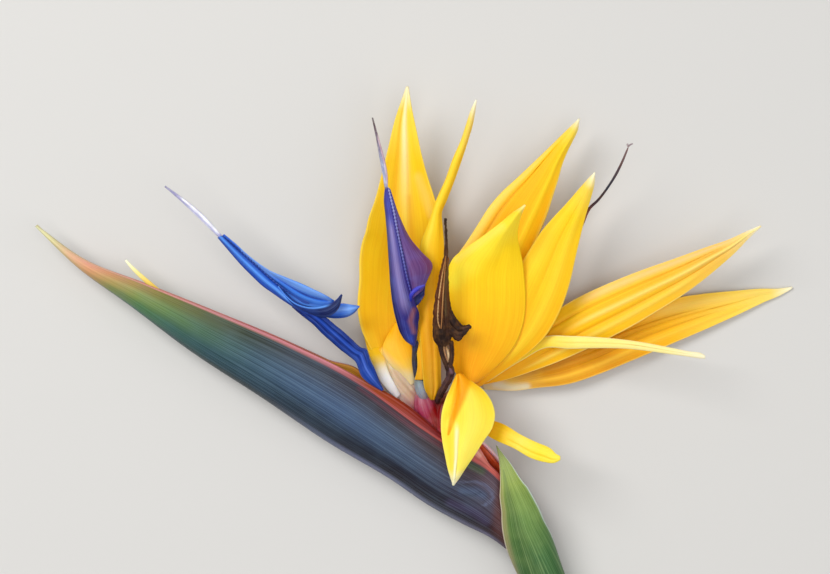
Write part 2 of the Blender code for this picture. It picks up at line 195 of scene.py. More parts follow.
@dataclass(frozen=True)
class Stroke:
    """A soft patch of colour, laid along a line as seen from above: rows of x, y, half width.

    Its edge is the share of the width over which it fades out.
    """

    colour: str
    path: Rows
    strength: float = 1.0
    edge: float = 1.0

    def cover(self, points: Grid) -> Grid:
        """Finds how much of the stroke lies on each point.

        Args:
            points: Points of the sheet.

        Returns:
            A share from 0 to the stroke's strength for each point.
        """
        most = np.zeros(points.shape[:-1])
        for (*start, start_width), (*end, end_width) in zip(self.path, self.path[1:]):
            run = np.subtract(end, start)
            place = points[..., :2] - start
            share = np.clip((place @ run) / (run @ run), 0, 1)
            distance = np.linalg.norm(place - share[..., None] * run, axis=-1)
            width = start_width + share * (end_width - start_width)
            most = np.maximum(most, fade((width - distance) / (width * self.edge), 0, 1))
        return most * self.strength


@dataclass(frozen=True)
class Line:
    """A ridge, groove or streak along a sheet, from one place across it to another.

    Its rise is in millimetres, and its taper is the share of the sheet's length that each end takes.
    """

    across: tuple[float, float]
    reach: tuple[float, float]
    width: float
    rise: float = 0.0
    colour: str = ""
    strength: float = 0.6
    taper: float = 0.12

    def cover(self, u: Grid, v: Grid) -> Grid:
        """Finds how much of the line lies on each point.

        Args:
            u: Places along the sheet.
            v: Places across it.

        Returns:
            A share from 0 to 1 for each point.
        """
        start, end = self.reach
        share = np.clip((u - start) / (end - start), 0, 1)
        middle = self.across[0] + (self.across[1] - self.across[0]) * share
        ends = fade(u, start, start + self.taper) * (1 - fade(u, end - self.taper, end))
        return np.exp(-((v - middle) / self.width) ** 2) * ends


class Wall(Enum):
    """Where the thickness of a sheet lies against its surface."""

    CENTRED = 0.0
    INWARD = -1.0


class End(Enum):
    """How the end of a round stalk is finished."""

    ROUNDED = "rounded"
    CUT = "cut"


def deselect() -> None:
    """Leaves nothing selected, because operators act on all that is."""
    bpy.ops.object.select_all(action="DESELECT")


def apply_modifier(item: Object, modifier: bpy.types.Modifier) -> None:
    """Applies one modifier to its mesh.

    Args:
        item: The object.
        modifier: One of its modifiers.
    """
    deselect()
    bpy.context.view_layer.objects.active = item
    item.select_set(True)
    bpy.ops.object.modifier_apply(modifier=modifier.name)


def join(name: str, items: list[Object]) -> Object:
    """Joins objects into one.

    Args:
        name: The name of the whole.
        items: The objects; the first one becomes the whole.

    Returns:
        The joined object.
    """
    deselect()
    for item in items:
        item.select_set(True)
    bpy.context.view_layer.objects.active = items[0]
    if len(items) > 1:
        bpy.ops.object.join()
    items[0].name = name
    items[0].data.name = name
    return items[0]


@dataclass(kw_only=True)
class Sheet:
    """A skin of tissue on a grid of points: u runs along it, v from +1 at its left edge to -1.

    The rim has a colour, a width and a strength. The wall is in millimetres, and edge_wall is what is
    left of it at the edges, as a share. Steps are the grid's rows and columns, and crumple is the height
    of the wrinkles in millimetres.
    """

    name: str = "sheet"
    tint: Ramp
    rim: tuple[str, float, float] = ("", 0.1, 0.0)
    lines: tuple[Line, ...] = ()
    strokes: tuple[Stroke, ...] = ()
    wall: float = 0.6
    wall_side: Wall = Wall.CENTRED
    edge_wall: float = 0.45
    steps: tuple[int, int] = (120, 40)
    crumple: float = 0.0

    def surface(self, u: Grid, v: Grid) -> Grid:
        """Gives the points of the bare form; each kind of sheet has its own.

        Args:
            u: Places along the sheet, from 0 to 1.
            v: Places across it, from +1 to -1.

        Returns:
            The points, in millimetres from the junction.
        """
        raise NotImplementedError

    def relief(self, u: Grid, v: Grid) -> Grid:
        """Adds up the ridges and grooves."""
        return sum((line.rise * line.cover(u, v) for line in self.lines), np.zeros_like(u))

    def ground(self, u: Grid, v: Grid, inside: bool) -> Grid:
        """Gives the colours before any marks."""
        return read_ramp(self.tint, u)

    def marks(self, inside: bool) -> tuple[Stroke, ...]:
        """Picks the strokes of one side of the sheet."""
        return self.strokes

    def paint(self, points: Grid, u: Grid, v: Grid, inside: bool) -> Grid:
        """Mixes the ground, the rim, the lines and the strokes at each point.

        Args:
            points: The points of the form.
            u: Their places along the sheet.
            v: Their places across it.
            inside: Whether this is the sheet's inner side.

        Returns:
            Linear colours.
        """
        colours = self.ground(u, v, inside)
        code, width, strength = self.rim
        layers = [(code, fade(np.abs(v), 1 - width, 1) * strength)] if code else []
        layers += [(line.colour, line.cover(u, v) * line.strength) for line in self.lines if line.colour]
        layers += [(stroke.colour, stroke.cover(points)) for stroke in self.marks(inside)]
        for code, cover in layers:
            colours = blend(colours, np.array(linear(code)[:3]), cover)
        return colours

    def build(self) -> Object:
        """Makes the mesh: a grid, set on the form, given its wall and its colours.

        Returns:
            The finished object.
        """
        rows, columns = self.steps
        deselect()
        bpy.ops.mesh.primitive_grid_add(x_subdivisions=rows, y_subdivisions=columns, size=2, calc_uvs=True)
        item = bpy.context.object
        item.name = self.name
        flat = np.empty(len(item.data.vertices) * 3)
        item.data.vertices.foreach_get("co", flat)
        flat = flat.reshape(-1, 3)
        row = np.rint((flat[:, 0] + 1) / 2 * rows).astype(int)
        column = np.rint((flat[:, 1] + 1) / 2 * columns).astype(int)
        u, v = np.meshgrid(np.linspace(0, 1, rows + 1), np.linspace(1, -1, columns + 1), indexing="ij")
        points = self.surface(u, v)
        points[..., 2] = np.maximum(points[..., 2], LEAST_HEIGHT + self.wall / 2)
        item.data.vertices.foreach_set("co", ((points[row, column] + JUNCTION) * MM).ravel())
        tints = [self.paint(points, u, v, inside)[row, column] for inside in (False, True)]
        self.thicken(item, v[row, column])
        self.colour(item, tints)
        if self.crumple:
            self.crumple_up(item)
        bpy.ops.object.shade_smooth()
        return item

    def thicken(self, item: Object, v: Grid) -> None:
        """Gives the sheet its wall, thinner at the edges.

        Args:
            item: The bare sheet.
            v: The place of each vertex across it.
        """
        group = item.vertex_groups.new(name="wall")
        for index, weight in enumerate(1 - (1 - self.edge_wall) * np.abs(v) ** 3):
            group.add([index], float(weight), "REPLACE")
        solidify = item.modifiers.new("wall", "SOLIDIFY")
        solidify.thickness = self.wall * MM
        solidify.offset = self.wall_side.value
        solidify.vertex_group = group.name
        apply_modifier(item, solidify)
        item.vertex_groups.clear()

    def colour(self, item: Object, tints: list[Grid]) -> None:
        """Writes the colours to the mesh.

        Args:
            item: The sheet with its wall.
            tints: The outer and the inner colours.
        """
        colours = np.concatenate(tints)[:len(item.data.vertices)]
        attribute = item.data.attributes.new("Tint", "FLOAT_COLOR", "POINT")
        attribute.data.foreach_set("color", np.column_stack([colours, np.ones(len(colours))]).ravel())

    def crumple_up(self, item: Object) -> None:
        """Wrinkles a dried sheet.

        Args:
            item: The sheet with its wall.
        """
        texture = bpy.data.textures.new(self.name, "CLOUDS")
        texture.noise_scale = CRUMPLE_SIZE * MM
        displace = item.modifiers.new("crumple", "DISPLACE")
        displace.texture = texture
        displace.texture_coords = "LOCAL"
        displace.strength = self.crumple * MM
        displace.mid_level = 0.5
        apply_modifier(item, displace)


@dataclass(kw_only=True)
class Blade(Sheet):
    """A leaf-like blade carried along its midrib: rows of x, y, height, half width left and right.

    Fold and curl are degrees on the left and on the right. A wave of the edge has a height, a count and
    the part of a turn that it starts at.
    """

    rows: Rows
    fold: tuple[float, float] = (0.0, 0.0)
    curl: tuple[float, float] = (0.0, 0.0)
    waves: tuple[tuple[float, float, float], ...] = ()

    def surface(self, u: Grid, v: Grid) -> Grid:
        """Gives the blade's points, as Sheet.surface describes."""
        table = smooth_rows(self.rows, u.shape[0])
        _, side, out = (direction[:, None, :] for direction in along(table[:, :3]))
        left_reach, left_rise = bent_arm(self.fold[0], self.curl[0], np.abs(v))
        right_reach, right_rise = bent_arm(self.fold[1], self.curl[1], np.abs(v))
        half = np.maximum(np.where(v >= 0, table[:, 3:4], table[:, 4:5]), LEAST_HALF_WIDTH)
        across = half * np.where(v >= 0, left_reach, -right_reach)
        lift = half * np.where(v >= 0, left_rise, right_rise)
        lift = lift + self.relief(u, v) * np.minimum(1, half / NARROW_HALF)
        for height, count, turn in self.waves:
            edge = np.abs(v) ** 2 * np.minimum(1, half / NARROW_EDGE)
            lift = lift + height * edge * np.sin(2 * math.pi * (count * u + turn + WAVE_LEAD * np.sign(v)))
        return table[:, None, :3] + across[..., None] * side + lift[..., None] * out


@dataclass(kw_only=True)
class Panel(Sheet):
    """A sheet spanned between two edges: rows of x, y, height for its left and its right edge."""

    left: Rows
    right: Rows
    bulge: float = 0.0

    def surface(self, u: Grid, v: Grid) -> Grid:
        """Gives the panel's points, as Sheet.surface describes."""
        left = smooth_rows(self.left, u.shape[0])
        right = smooth_rows(self.right, u.shape[0])
        share = (1 - v) / 2
        width = np.linalg.norm(left - right, axis=1)[:, None]
        _, _, out = along((left + right) / 2)
        lift = self.bulge * np.sin(math.pi * share) + self.relief(u, v)
        lift = lift * np.minimum(1, width / NARROW_PANEL)
        share = share[..., None]
        return left[:, None] * (1 - share) + right[:, None] * share + lift[..., None] * out[:, None]


@dataclass(kw_only=True)
class Trough(Sheet):
    """The spathe: a keeled section that bulges and draws in again to its two lips.

    Its rows are the keel's x and y, the lips' x and y, the half width and the gap between the lips.
    Its outside is coloured in bands from the keel, 0, to the lips, 1, and its inside by the tint.
    """

    rows: Rows
    far_lip: Rows
    near_lip: Rows
    bands: tuple[tuple[float, Ramp], ...]
    inner_strokes: tuple[Stroke, ...]

    def surface(self, u: Grid, v: Grid) -> Grid:
        """Gives the trough's points, from the near lip round the keel to the far lip."""
        flat = tuple((*row[:2], 0, *row[2:]) for row in self.rows)
        keel_x, keel_y, _, lip_x, lip_y, half, gap = (
            column[:, None] for column in smooth_rows(flat, u.shape[0]).T)
        end = math.pi - np.arcsin(np.minimum(gap / half, 1))
        angle = end * v
        up = (1 - np.cos(angle)) / (1 - np.cos(end))
        far, near = fade(-v, FAR_LIP_START, 1), fade(v, NEAR_LIP_START, 1)
        for humps, lip in ((self.far_lip, far), (self.near_lip, near)):
            for start, stop, rise in humps:
                up = up + rise * hump(u, start, stop) * lip
        height = SPATHE_PLANE + half * np.sin(angle)
        return np.stack([keel_x + up * (lip_x - keel_x), keel_y + up * (lip_y - keel_y), height], axis=-1)

    def ground(self, u: Grid, v: Grid, inside: bool) -> Grid:
        """Blends the ramps of the bands across the outside, or reads the inside's.

        Args:
            u: Places along the sheet.
            v: Places across it.
            inside: Whether this is the inner side.

        Returns:
            Linear colours.
        """
        if inside:
            return read_ramp(self.tint, u)
        colours = read_ramp(self.bands[0][1], u)
        for (start, _), (end, ramp) in zip(self.bands, self.bands[1:]):
            colours = blend(colours, read_ramp(ramp, u), fade(np.abs(v), start, end))
        return colours

    def marks(self, inside: bool) -> tuple[Stroke, ...]:
        """Picks the strokes of one side of the spathe."""
        return self.inner_strokes if inside else self.strokes


@dataclass(kw_only=True)
class Wrap(Sheet):
    """A sheet wrapped round an axis: x, y, axis height, radius, degrees round to the left and right."""

    rows: Rows

    def surface(self, u: Grid, v: Grid) -> Grid:
        """Gives the wrap's points, as Sheet.surface describes."""
        table = smooth_rows(self.rows, u.shape[0])
        _, side, out = (direction[:, None, :] for direction in along(table[:, :3]))
        angle = np.radians(np.where(v >= 0, table[:, 4:5] * v, table[:, 5:6] * v))
        turned = np.sin(angle)[..., None] * side + np.cos(angle)[..., None] * out
        return table[:, None, :3] + table[:, None, 3:4] * turned


@dataclass(kw_only=True)
class Tube(Sheet):
    """A round stalk: rows of x, y, height, radius, with ribs, beads and closed ends.

    Ribs and beads have a depth, as a share of the radius, and a count; flat is height against width.
    """

    rows: Rows
    flat: float = 1.0
    ribs: tuple[float, float] = (0.0, 8.0)
    beads: tuple[float, float] = (0.0, 10.0)
    ends: tuple[End, End] = (End.ROUNDED, End.ROUNDED)
    steps: tuple[int, int] = (80, 32)

    def surface(self, u: Grid, v: Grid) -> Grid:
        """Gives the stalk's points, ring by ring, drawn in to a point at each end."""
        count = u.shape[0]
        table = smooth_rows(self.rows, count)
        _, side, out = (direction[:, None, :] for direction in along(table[:, :3]))
        radius = table[:, 3:4] * (1 + self.ribs[0] * np.cos(self.ribs[1] * math.pi * v))
        radius = radius * (1 + self.beads[0] * np.cos(2 * math.pi * self.beads[1] * u))
        centres = table[:, :3].copy()
        steps = np.arange(count)[:, None]
        for kind, distance, rings in ((self.ends[0], steps, (0, 1, 2)),
                                      (self.ends[1], count - 1 - steps, (-1, -2, -3))):
            if kind is End.ROUNDED:
                radius = radius * np.sqrt(1 - (1 - distance / ROUNDED_RINGS).clip(0, 1) ** 2)
            else:
                radius = radius * np.where(distance >= 2, 1, np.where(distance >= 1, BEVEL, 0))
                centres[list(rings)] = centres[rings[0]]
        angle = math.pi * v
        turned = np.sin(angle)[..., None] * side + self.flat * np.cos(angle)[..., None] * out
        return centres[:, None] + radius[..., None] * turned

    def thicken(self, item: Object, v: Grid) -> None:
        """Leaves the stalk solid: its seam and poles are closed in colour()."""

    def colour(self, item: Object, tints: list[Grid]) -> None:
        """Writes the colours, marks the cut ends, then closes the seam and the poles.

        Args:
            item: The open stalk.
            tints: The outer colours, and the inner ones, which it has no use for.
        """
        super().colour(item, tints)
        cut_foot, cut_tip = (kind is End.CUT for kind in self.ends)
        if cut_foot or cut_tip:
            cap = 2 / self.steps[0]
            places = item.data.uv_layers[0].uv
            for polygon in item.data.polygons:
                place = np.mean([places[loop].vector.x for loop in polygon.loop_indices])
                if (cut_foot and place < cap) or (cut_tip and place > 1 - cap):
                    polygon.material_index = 1
        bpy.ops.object.mode_set(mode="EDIT")
        bpy.ops.mesh.select_all(action="SELECT")
        bpy.ops.mesh.remove_doubles(threshold=MERGE_DISTANCE)
        bpy.ops.mesh.normals_make_consistent(inside=False)
        bpy.ops.object.mode_set(mode="OBJECT")


def add(tree: bpy.types.NodeTree, kind: str, inputs: dict[Any, Any] | None = None,
        stops: dict[float, str] | None = None, **settings: Any) -> Any:
    """Adds a node with its settings, its input values and its links.

    Args:
        tree: The material's node tree.
        kind: The node's type, without its ShaderNode prefix.
        inputs: Values, or sockets to link from, by the input's name or number.
        stops: Hex colours by their place, for a node that holds a colour ramp.
        **settings: The node's own properties.

    Returns:
        The new node.
    """
    node = tree.nodes.new("ShaderNode" + kind)
    for name, value in settings.items():
        setattr(node, name, value)
    for index, (place, code) in enumerate((stops or {}).items()):
        elements = node.color_ramp.elements
        element = elements[index] if index < len(elements) else elements.new(place)
        element.position = place
        element.color = linear(code)
    for name, value in (inputs or {}).items():
        if isinstance(value, bpy.types.NodeSocket):
            tree.links.new(value, node.inputs[name])
        else:
            node.inputs[name].default_value = value
    return node


def new_material(name: str, values: dict[str, Any]) -> tuple[bpy.types.Material, bpy.types.NodeTree, Any]:
    """Starts a material.

    Args:
        name: Its name.
        values: What its Principled shader's sockets are set to.

    Returns:
        The material, its node tree and its shader.
    """
    material = bpy.data.materials.new(name)
    material.use_nodes = True
    shader = material.node_tree.nodes["Principled BSDF"]
    for socket, value in values.items():
        shader.inputs[socket].default_value = value
    return material, material.node_tree, shader


# Which values of the noise count as vein, as streak and as mottle: black for none, white for all.
BLACK, WHITE = "#000000", "#FFFFFF"
VEIN_MASK = {0.42: BLACK, 0.68: WHITE}
STREAK_MASK = {0.3: WHITE, 0.5: BLACK}
MOTTLE_MASK = {0.45: BLACK, 0.75: WHITE}
# How far red, green and blue light travel inside a petal, against each other.
LIGHT_REACH = (1.0, 0.5, 0.15)


@dataclass(frozen=True)
class Tissue:
    """Living plant tissue: its painted tint, fine veins along it, a soft mottle and a waxy surface.

    The veins are noise drawn out along the piece's own length, so they close up towards its tip.
    Veins are set by their count across and along, shade and strength, pale streaks between them by
    shade and strength, and the mottle by its size in millimetres, shade and strength.
    """

    name: str
    veins: tuple[float, float, str, float] = (34.0, 1.6, "#C98200", 0.12)
    streaks: tuple[str, float] = ("#FFE63C", 0.14)
    mottle: tuple[float, str, float] = (6.0, "#FFDC28", 0.1)
    cell_mm: float = 0.35
    cell_share: float = 0.25
    bump_mm: float = 0.05
    roughness: tuple[float, float] = (0.45, 0.6)
    specular: float = 0.2
    subsurface: float = 0.12
    subsurface_mm: float = 0.8
    sheen: float = 0.0
    sheen_tint: str = WHITE

    def layer(self, tree: bpy.types.NodeTree, below: Any, mask: Any, stops: dict[float, str], shade: str,
              strength: float, way: str = "MIX") -> Any:
        """Lays a shade over a colour, as much as a mask says.

        Args:
            tree: The material's node tree.
            below: The socket of the colour below.
            mask: The socket of the mask's noise.
            stops: Black and white by the noise's value.
            shade: The hex code laid over.
            strength: How much of it at most.
            way: How the two are blended.

        Returns:
            The socket of the new colour.
        """
        ramp = add(tree, "ValToRGB", {"Fac": mask}, stops)
        amount = add(tree, "Math", {0: ramp.outputs[0], 1: strength}, operation="MULTIPLY")
        return add(tree, "Mix", {0: amount.outputs[0], 6: below, 7: linear(shade)}, data_type="RGBA",
                   blend_type=way).outputs[2]

    def make(self) -> bpy.types.Material:
        """Builds the material.

        Returns:
            The material.
        """
        material, tree, shader = new_material(self.name, {
            "Specular IOR Level": self.specular,
            "Subsurface Weight": self.subsurface,
            "Subsurface Radius": LIGHT_REACH,
            "Subsurface Scale": self.subsurface_mm * MM,
            "Sheen Weight": self.sheen,
            "Sheen Tint": linear(self.sheen_tint)})
        across, length, vein_shade, vein_strength = self.veins
        size, mottle_shade, mottle_strength = self.mottle
        place = add(tree, "TexCoord").outputs["Object"]
        grid = add(tree, "UVMap").outputs[0]
        drawn = add(tree, "Mapping", {"Vector": grid, "Scale": (length, across, 1.0)})
        noise = {"Vector": drawn.outputs[0], "Scale": 1.0, "Detail": 3.0, "Roughness": 0.6}
        veins = add(tree, "TexNoise", noise).outputs["Fac"]
        noise = {"Vector": place, "Scale": 1 / (size * MM), "Detail": 2.0}
        mottle = add(tree, "TexNoise", noise).outputs["Fac"]
        cells = add(tree, "TexNoise", {"Vector": place, "Scale": 1 / (self.cell_mm * MM)}).outputs["Fac"]
        colour = add(tree, "Attribute", attribute_name="Tint").outputs["Color"]
        colour = self.layer(tree, colour, veins, VEIN_MASK, vein_shade, vein_strength, "MULTIPLY")
        colour = self.layer(tree, colour, veins, STREAK_MASK, *self.streaks)
        colour = self.layer(tree, colour, mottle, MOTTLE_MASK, mottle_shade, mottle_strength)
        smooth, rough = self.roughness
        dull = add(tree, "MapRange", {"Value": mottle, "To Min": smooth, "To Max": rough})
        height = add(tree, "Math", {0: cells, 1: self.cell_share, 2: veins}, operation="MULTIPLY_ADD")
        bump = add(tree, "Bump", {
            "Height": height.outputs[0], "Distance": self.bump_mm * MM, "Strength": 1.0})
        tree.links.new(colour, shader.inputs["Base Color"])
        tree.links.new(dull.outputs[0], shader.inputs["Roughness"])
        tree.links.new(bump.outputs[0], shader.inputs["Normal"])
        return material


@dataclass(frozen=True)
class Pith:
    """The cut end of the stalk: pale wet pith dotted with darker fibre bundles about 1 mm apart."""

    name: str = "cut_stalk_pith"
    ground: str = "#DDE0B4"
    fibre: str = "#9BA663"
    spacing_mm: float = 1.0
    bump_mm: float = 0.1
    roughness: float = 0.4
    subsurface: float = 0.2

    def make(self) -> bpy.types.Material:
        """Builds the material.

        Returns:
            The material.
        """
        material, tree, shader = new_material(self.name, {
            "Roughness": self.roughness, "Subsurface Weight": self.subsurface, "Subsurface Scale": MM})
        place = add(tree, "TexCoord").outputs["Object"]
        cells = add(tree, "TexVoronoi", {"Vector": place, "Scale": 1 / (self.spacing_mm * MM)})
        dots = cells.outputs["Distance"]
        colours = add(tree, "ValToRGB", {"Fac": dots}, {0.2: self.fibre, 0.4: self.ground})
        bump = add(tree, "Bump", {"Height": dots, "Distance": self.bump_mm * MM, "Strength": 0.6})
        tree.links.new(colours.outputs[0], shader.inputs["Base Color"])
        tree.links.new(bump.outputs[0], shader.inputs["Normal"])
        return material


# Petal-like sepals: smooth, waxy, saturated yellow with faint lengthwise veins.
SEPAL_TISSUE = Tissue("waxy_sepal_tissue")
# The beak's skin: tough, satin, with fine raised fibres and a bluish bloom.
SPATHE_SKIN = Tissue(
    "fibrous_spathe_skin", veins=(150, 3, "#4A4450", 0.5), streaks=("#8AA4B4", 0.16),
    mottle=(9, "#5F7C93", 0.1), bump_mm=0.12, roughness=(0.38, 0.5), subsurface=0.03)
# The leafy sheath: satin green with parallel ribs.
SHEATH_SKIN = Tissue(
    "ribbed_sheath_skin", veins=(46, 1.5, "#6F8A4A", 0.5), streaks=("#C8D898", 0.2),
    mottle=(8, "#B9CC7A", 0.12), bump_mm=0.1, roughness=(0.4, 0.52), subsurface=0.08)
# The stalk's skin: smooth waxy green.
STALK_SKIN = Tissue(
    "smooth_stalk_skin", veins=(60, 3, "#5E7A3C", 0.4), streaks=("#A8C078", 0.15),
    mottle=(7, "#9DB86A", 0.15), bump_mm=0.08, roughness=(0.36, 0.5), subsurface=0.05)
# The arrow petals: velvety blue with a satin sheen.
ARROW_TISSUE = Tissue(
    "satin_arrow_petal", veins=(16, 2, "#3A50B0", 0.35), streaks=("#9AB4F4", 0.15),
    mottle=(4, "#5A8CF0", 0.1), bump_mm=0.08, roughness=(0.36, 0.5), subsurface=0.05, sheen=0.05,
    sheen_tint="#7FA8FF")
# A spent arrow petal: dry, papery and wrinkled.
DRIED_TISSUE = Tissue(
    "dried_papery_petal", veins=(12, 3, "#2A1408", 0.6), streaks=("#A87848", 0.12),
    mottle=(1.8, "#8A5A2A", 0.25), cell_mm=0.5, bump_mm=0.25, roughness=(0.5, 0.75), subsurface=0.0)
# Pollen on the style's end: pale, powdery and matt.
POLLEN_CRUST = Tissue(
    "pollen_dusted_style", veins=(5, 8, "#9A90C0", 0.3), streaks=(WHITE, 0.3),
    mottle=(1.2, WHITE, 0.15), cell_mm=0.5, bump_mm=0.2, roughness=(0.7, 0.9), subsurface=0.1)
# The florets' feet: wet, pale flesh that lets light through.
FLORET_FLESH = Tissue(
    "translucent_floret_flesh", veins=(14, 1.2, "#D8A090", 0.35), streaks=("#FFF0EA", 0.1),
    mottle=(3, "#FFF0E6", 0.06), bump_mm=0.08, roughness=(0.3, 0.42), subsurface=0.35, subsurface_mm=1.5)


class Role(Enum):
    """What a piece is: its material slot in the record, and its tissue."""

    SEPAL = ("sepal_yellow", SEPAL_TISSUE)
    FOOT = ("floret_stalk", FLORET_FLESH)
    NECTARY = ("nectary_pale", FLORET_FLESH)
    BLUE_ARROW = ("arrow_blue", ARROW_TISSUE)
    PURPLE_ARROW = ("arrow_purple", ARROW_TISSUE)
    BROWN_ARROW = ("arrow_brown", DRIED_TISSUE)
    STIGMA = ("stigma_pale", POLLEN_CRUST)
    SPATHE = ("spathe_skin", SPATHE_SKIN)
    BRACT = ("bract_coral", FLORET_FLESH)
    BUD = ("bud_yellow", SEPAL_TISSUE)
    STEM = ("stem_green", STALK_SKIN)
    SHEATH = ("sheath_green", SHEATH_SKIN)
    STYLE = ("style_dry", DRIED_TISSUE)


class Finishes:
    """The materials, each made once."""

    def __init__(self) -> None:
        """Makes them all."""
        tissues = dict.fromkeys(role.value[1] for role in Role)
        self.tissues = {tissue: tissue.make() for tissue in tissues}
        self.pith = Pith().make()

    def of(self, role: Role) -> list[bpy.types.Material]:
        """Lists the materials of a piece: its tissue, and the pith where it is cut."""
        return [self.tissues[role.value[1]]] + ([self.pith] if role is Role.STEM else [])


@dataclass
class Piece:
    """One piece of the flower: the CAD node that it stands for, what it is, and its sheets."""

    node: str
    role: Role
    forms: list[Sheet]

    def build(self) -> Object:
        """Builds its sheets, joins them and puts the whole in the place of the CAD node.

        Returns:
            The piece.
        """
        item = join(f"{self.node}_tissue", [form.build() for form in self.forms])
        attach(item, BODY)
        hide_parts(self.node)
        return item

    def dress(self, item: Object, finishes: Finishes) -> None:
        """Gives the piece its materials.

        Args:
            item: The piece as built.
            finishes: All the materials.
        """
        for material in finishes.of(self.role):
            item.data.materials.append(material)


class Assembly:
    """A part of the flower, built and dressed piece by piece."""

    def pieces(self) -> list[Piece]:
        """Lists its pieces; each kind of assembly has its own."""
        raise NotImplementedError

    def build(self, finishes: Finishes) -> None:
        """Builds and dresses its pieces.

        Args:
            finishes: All the materials.
        """
        for piece in self.pieces():
            item = piece.build()
            piece.dress(item, finishes)
            log.info("%s: %d faces", item.name, len(item.data.polygons))


@dataclass
class Floret(Assembly):
    """One flower: its sepals and fleshy foot, and the nectary, arrow and stigma where it has them."""

    number: int
    sepals: list[list[Sheet]]
    foot: list[Sheet]
    nectary: list[Sheet] = field(default_factory=list)
    arrow: list[Sheet] = field(default_factory=list)
    arrow_role: Role = Role.BLUE_ARROW
    stigma: list[Sheet] = field(default_factory=list)

    def pieces(self) -> list[Piece]:
        """Lists its pieces.

        Returns:
            The sepals, then the foot and whichever of the others it has.
        """
        pieces = [Piece(f"sepal_{self.number}{letter}", Role.SEPAL, forms)
                  for letter, forms in zip("abc", self.sepals)]
        pieces += [Piece(f"floret_{self.number}_base", Role.FOOT, self.foot),
                   Piece(f"nectary_{self.number}", Role.NECTARY, self.nectary),
                   Piece(f"arrow_{self.number}", self.arrow_role, self.arrow),
                   Piece(f"stigma_{self.number}", Role.STIGMA, self.stigma)]
        return [piece for piece in pieces if piece.forms]


@dataclass
class Beak(Assembly):
    """The spathe with the bract and the bud that show inside it."""

    spathe: list[Sheet]
    bract: list[Sheet]
    bud: list[Sheet]

    def pieces(self) -> list[Piece]:
        """Lists its pieces."""
        return [Piece("spathe", Role.SPATHE, self.spathe), Piece("inner_bract", Role.BRACT, self.bract),
                Piece("bud_tip", Role.BUD, self.bud)]


@dataclass
class Stalk(Assembly):
    """The stem with its leafy sheath, and the spent style of an old floret."""

    stem: list[Sheet]
    sheath: list[Sheet]
    style: list[Sheet]

    def pieces(self) -> list[Piece]:
        """Lists its pieces."""
        return [Piece("stem", Role.STEM, self.stem), Piece("stem_sheath", Role.SHEATH, self.sheath),
                Piece("style_4", Role.STYLE, self.style)]


# A sepal's usual colours.
SEPAL_RAMP = {0: "#F5A806", 15: "#FDB904", 40: "#FFC806", 75: "#FFCE18", 92: "#FFDD50", 100: "#FFF6D0"}


def sepal(rows: Rows, **details: Any) -> Blade:
    """Sets out one sepal as a blade, with the usual rim and ramp.

    Args:
        rows: The blade's rows.
        **details: Any other fields of the blade.

    Returns:
        The sepal.
    """
    return Blade(rows=rows, **{"tint": SEPAL_RAMP, "rim": ("#FFE25A", 0.12, 0.5), **details})


# Floret 1, nearest the beak's point. A broad sepal at the back, with its pale foot.
SEPAL_1A = [sepal(
    ((-35.5, 52, 6.5, 2.6, 2.6), (-35, 58.5, 5.5, 6.4, 6), (-34.5, 66, 5, 10.6, 9.6), (-34.5, 75, 5, 13, 12),
        (-34, 85.5, 5.5, 13, 12.6), (-33.5, 92, 6, 13.4, 13.2), (-32.5, 99.5, 7, 12.8, 12.6),
        (-32.5, 105.5, 8, 11.6, 11.6), (-32.5, 111, 9, 9.6, 10), (-32.5, 119, 10.5, 7.4, 7.4),
        (-32.5, 127, 12.5, 5.4, 5.2), (-32.5, 136.5, 14.5, 3, 3.2), (-32, 142, 16, 1.6, 1.6),
        (-31.5, 147, 17, 0.3, 0.3)),
    curl=(30, 30),
    # The pale line along the raised midrib is a painted highlight, and the darker orange in the groove on
    # the left half is painted shade.
    lines=(Line((-0.02, -0.05), (0.3, 1.1), 0.1, 0.5, "#FFDF60", 0.45, 0.35),
        Line((0, -0.03), (0.5, 1.3), 0.2, 0, "#FFF2C0", 0.85, 0.45),
        Line((0.3, 0.35), (0.3, 1), 0.16, -0.35, "#F9AE0A", 0.5),
        Line((-0.4, -0.45), (0.35, 0.95), 0.2, -0.2, "#FFD21C", 0.4)),
    waves=((0.35, 1.7, 0.1),),
    strokes=(Stroke("#FFDC70", ((-28, 118.5, 2.4), (-25.5, 112, 3), (-23.8, 106, 2)), 0.5),
        Stroke("#F09C10", ((-31, 112, 1.6), (-30, 98, 2)), 0.35),
        Stroke("#FFCC28", ((-44, 67, 4), (-40.5, 61.5, 5)), 0.7),
        Stroke("#F8F6F6", ((-41, 56, 3.6), (-39, 53, 5), (-35, 48.6, 6)), 1)),
), Panel(
    name="foot",
    left=((-35, 47.6, 13), (-38.4, 50.8, 12.8), (-40.9, 54.4, 12.4), (-42.1, 57.4, 11.4), (-43.6, 60.8, 9),
        (-45, 65, 6.2), (-46, 69, 4.6)),
    right=((-33.8, 48.8, 12.4), (-35.4, 51.8, 12.4), (-37, 54.8, 12), (-38.2, 57.8, 10.8), (-39, 61, 8.4),
        (-40, 65, 4.8), (-41, 69, 3.4)),
    tint={0: "#E0DCE0", 28: "#F6F5F8", 40: "#F8EEDA", 52: "#FFD86C", 64: "#FFCB20", 100: "#FFC50A"},
    bulge=0.3, wall=0.4, steps=(80, 24),
)]
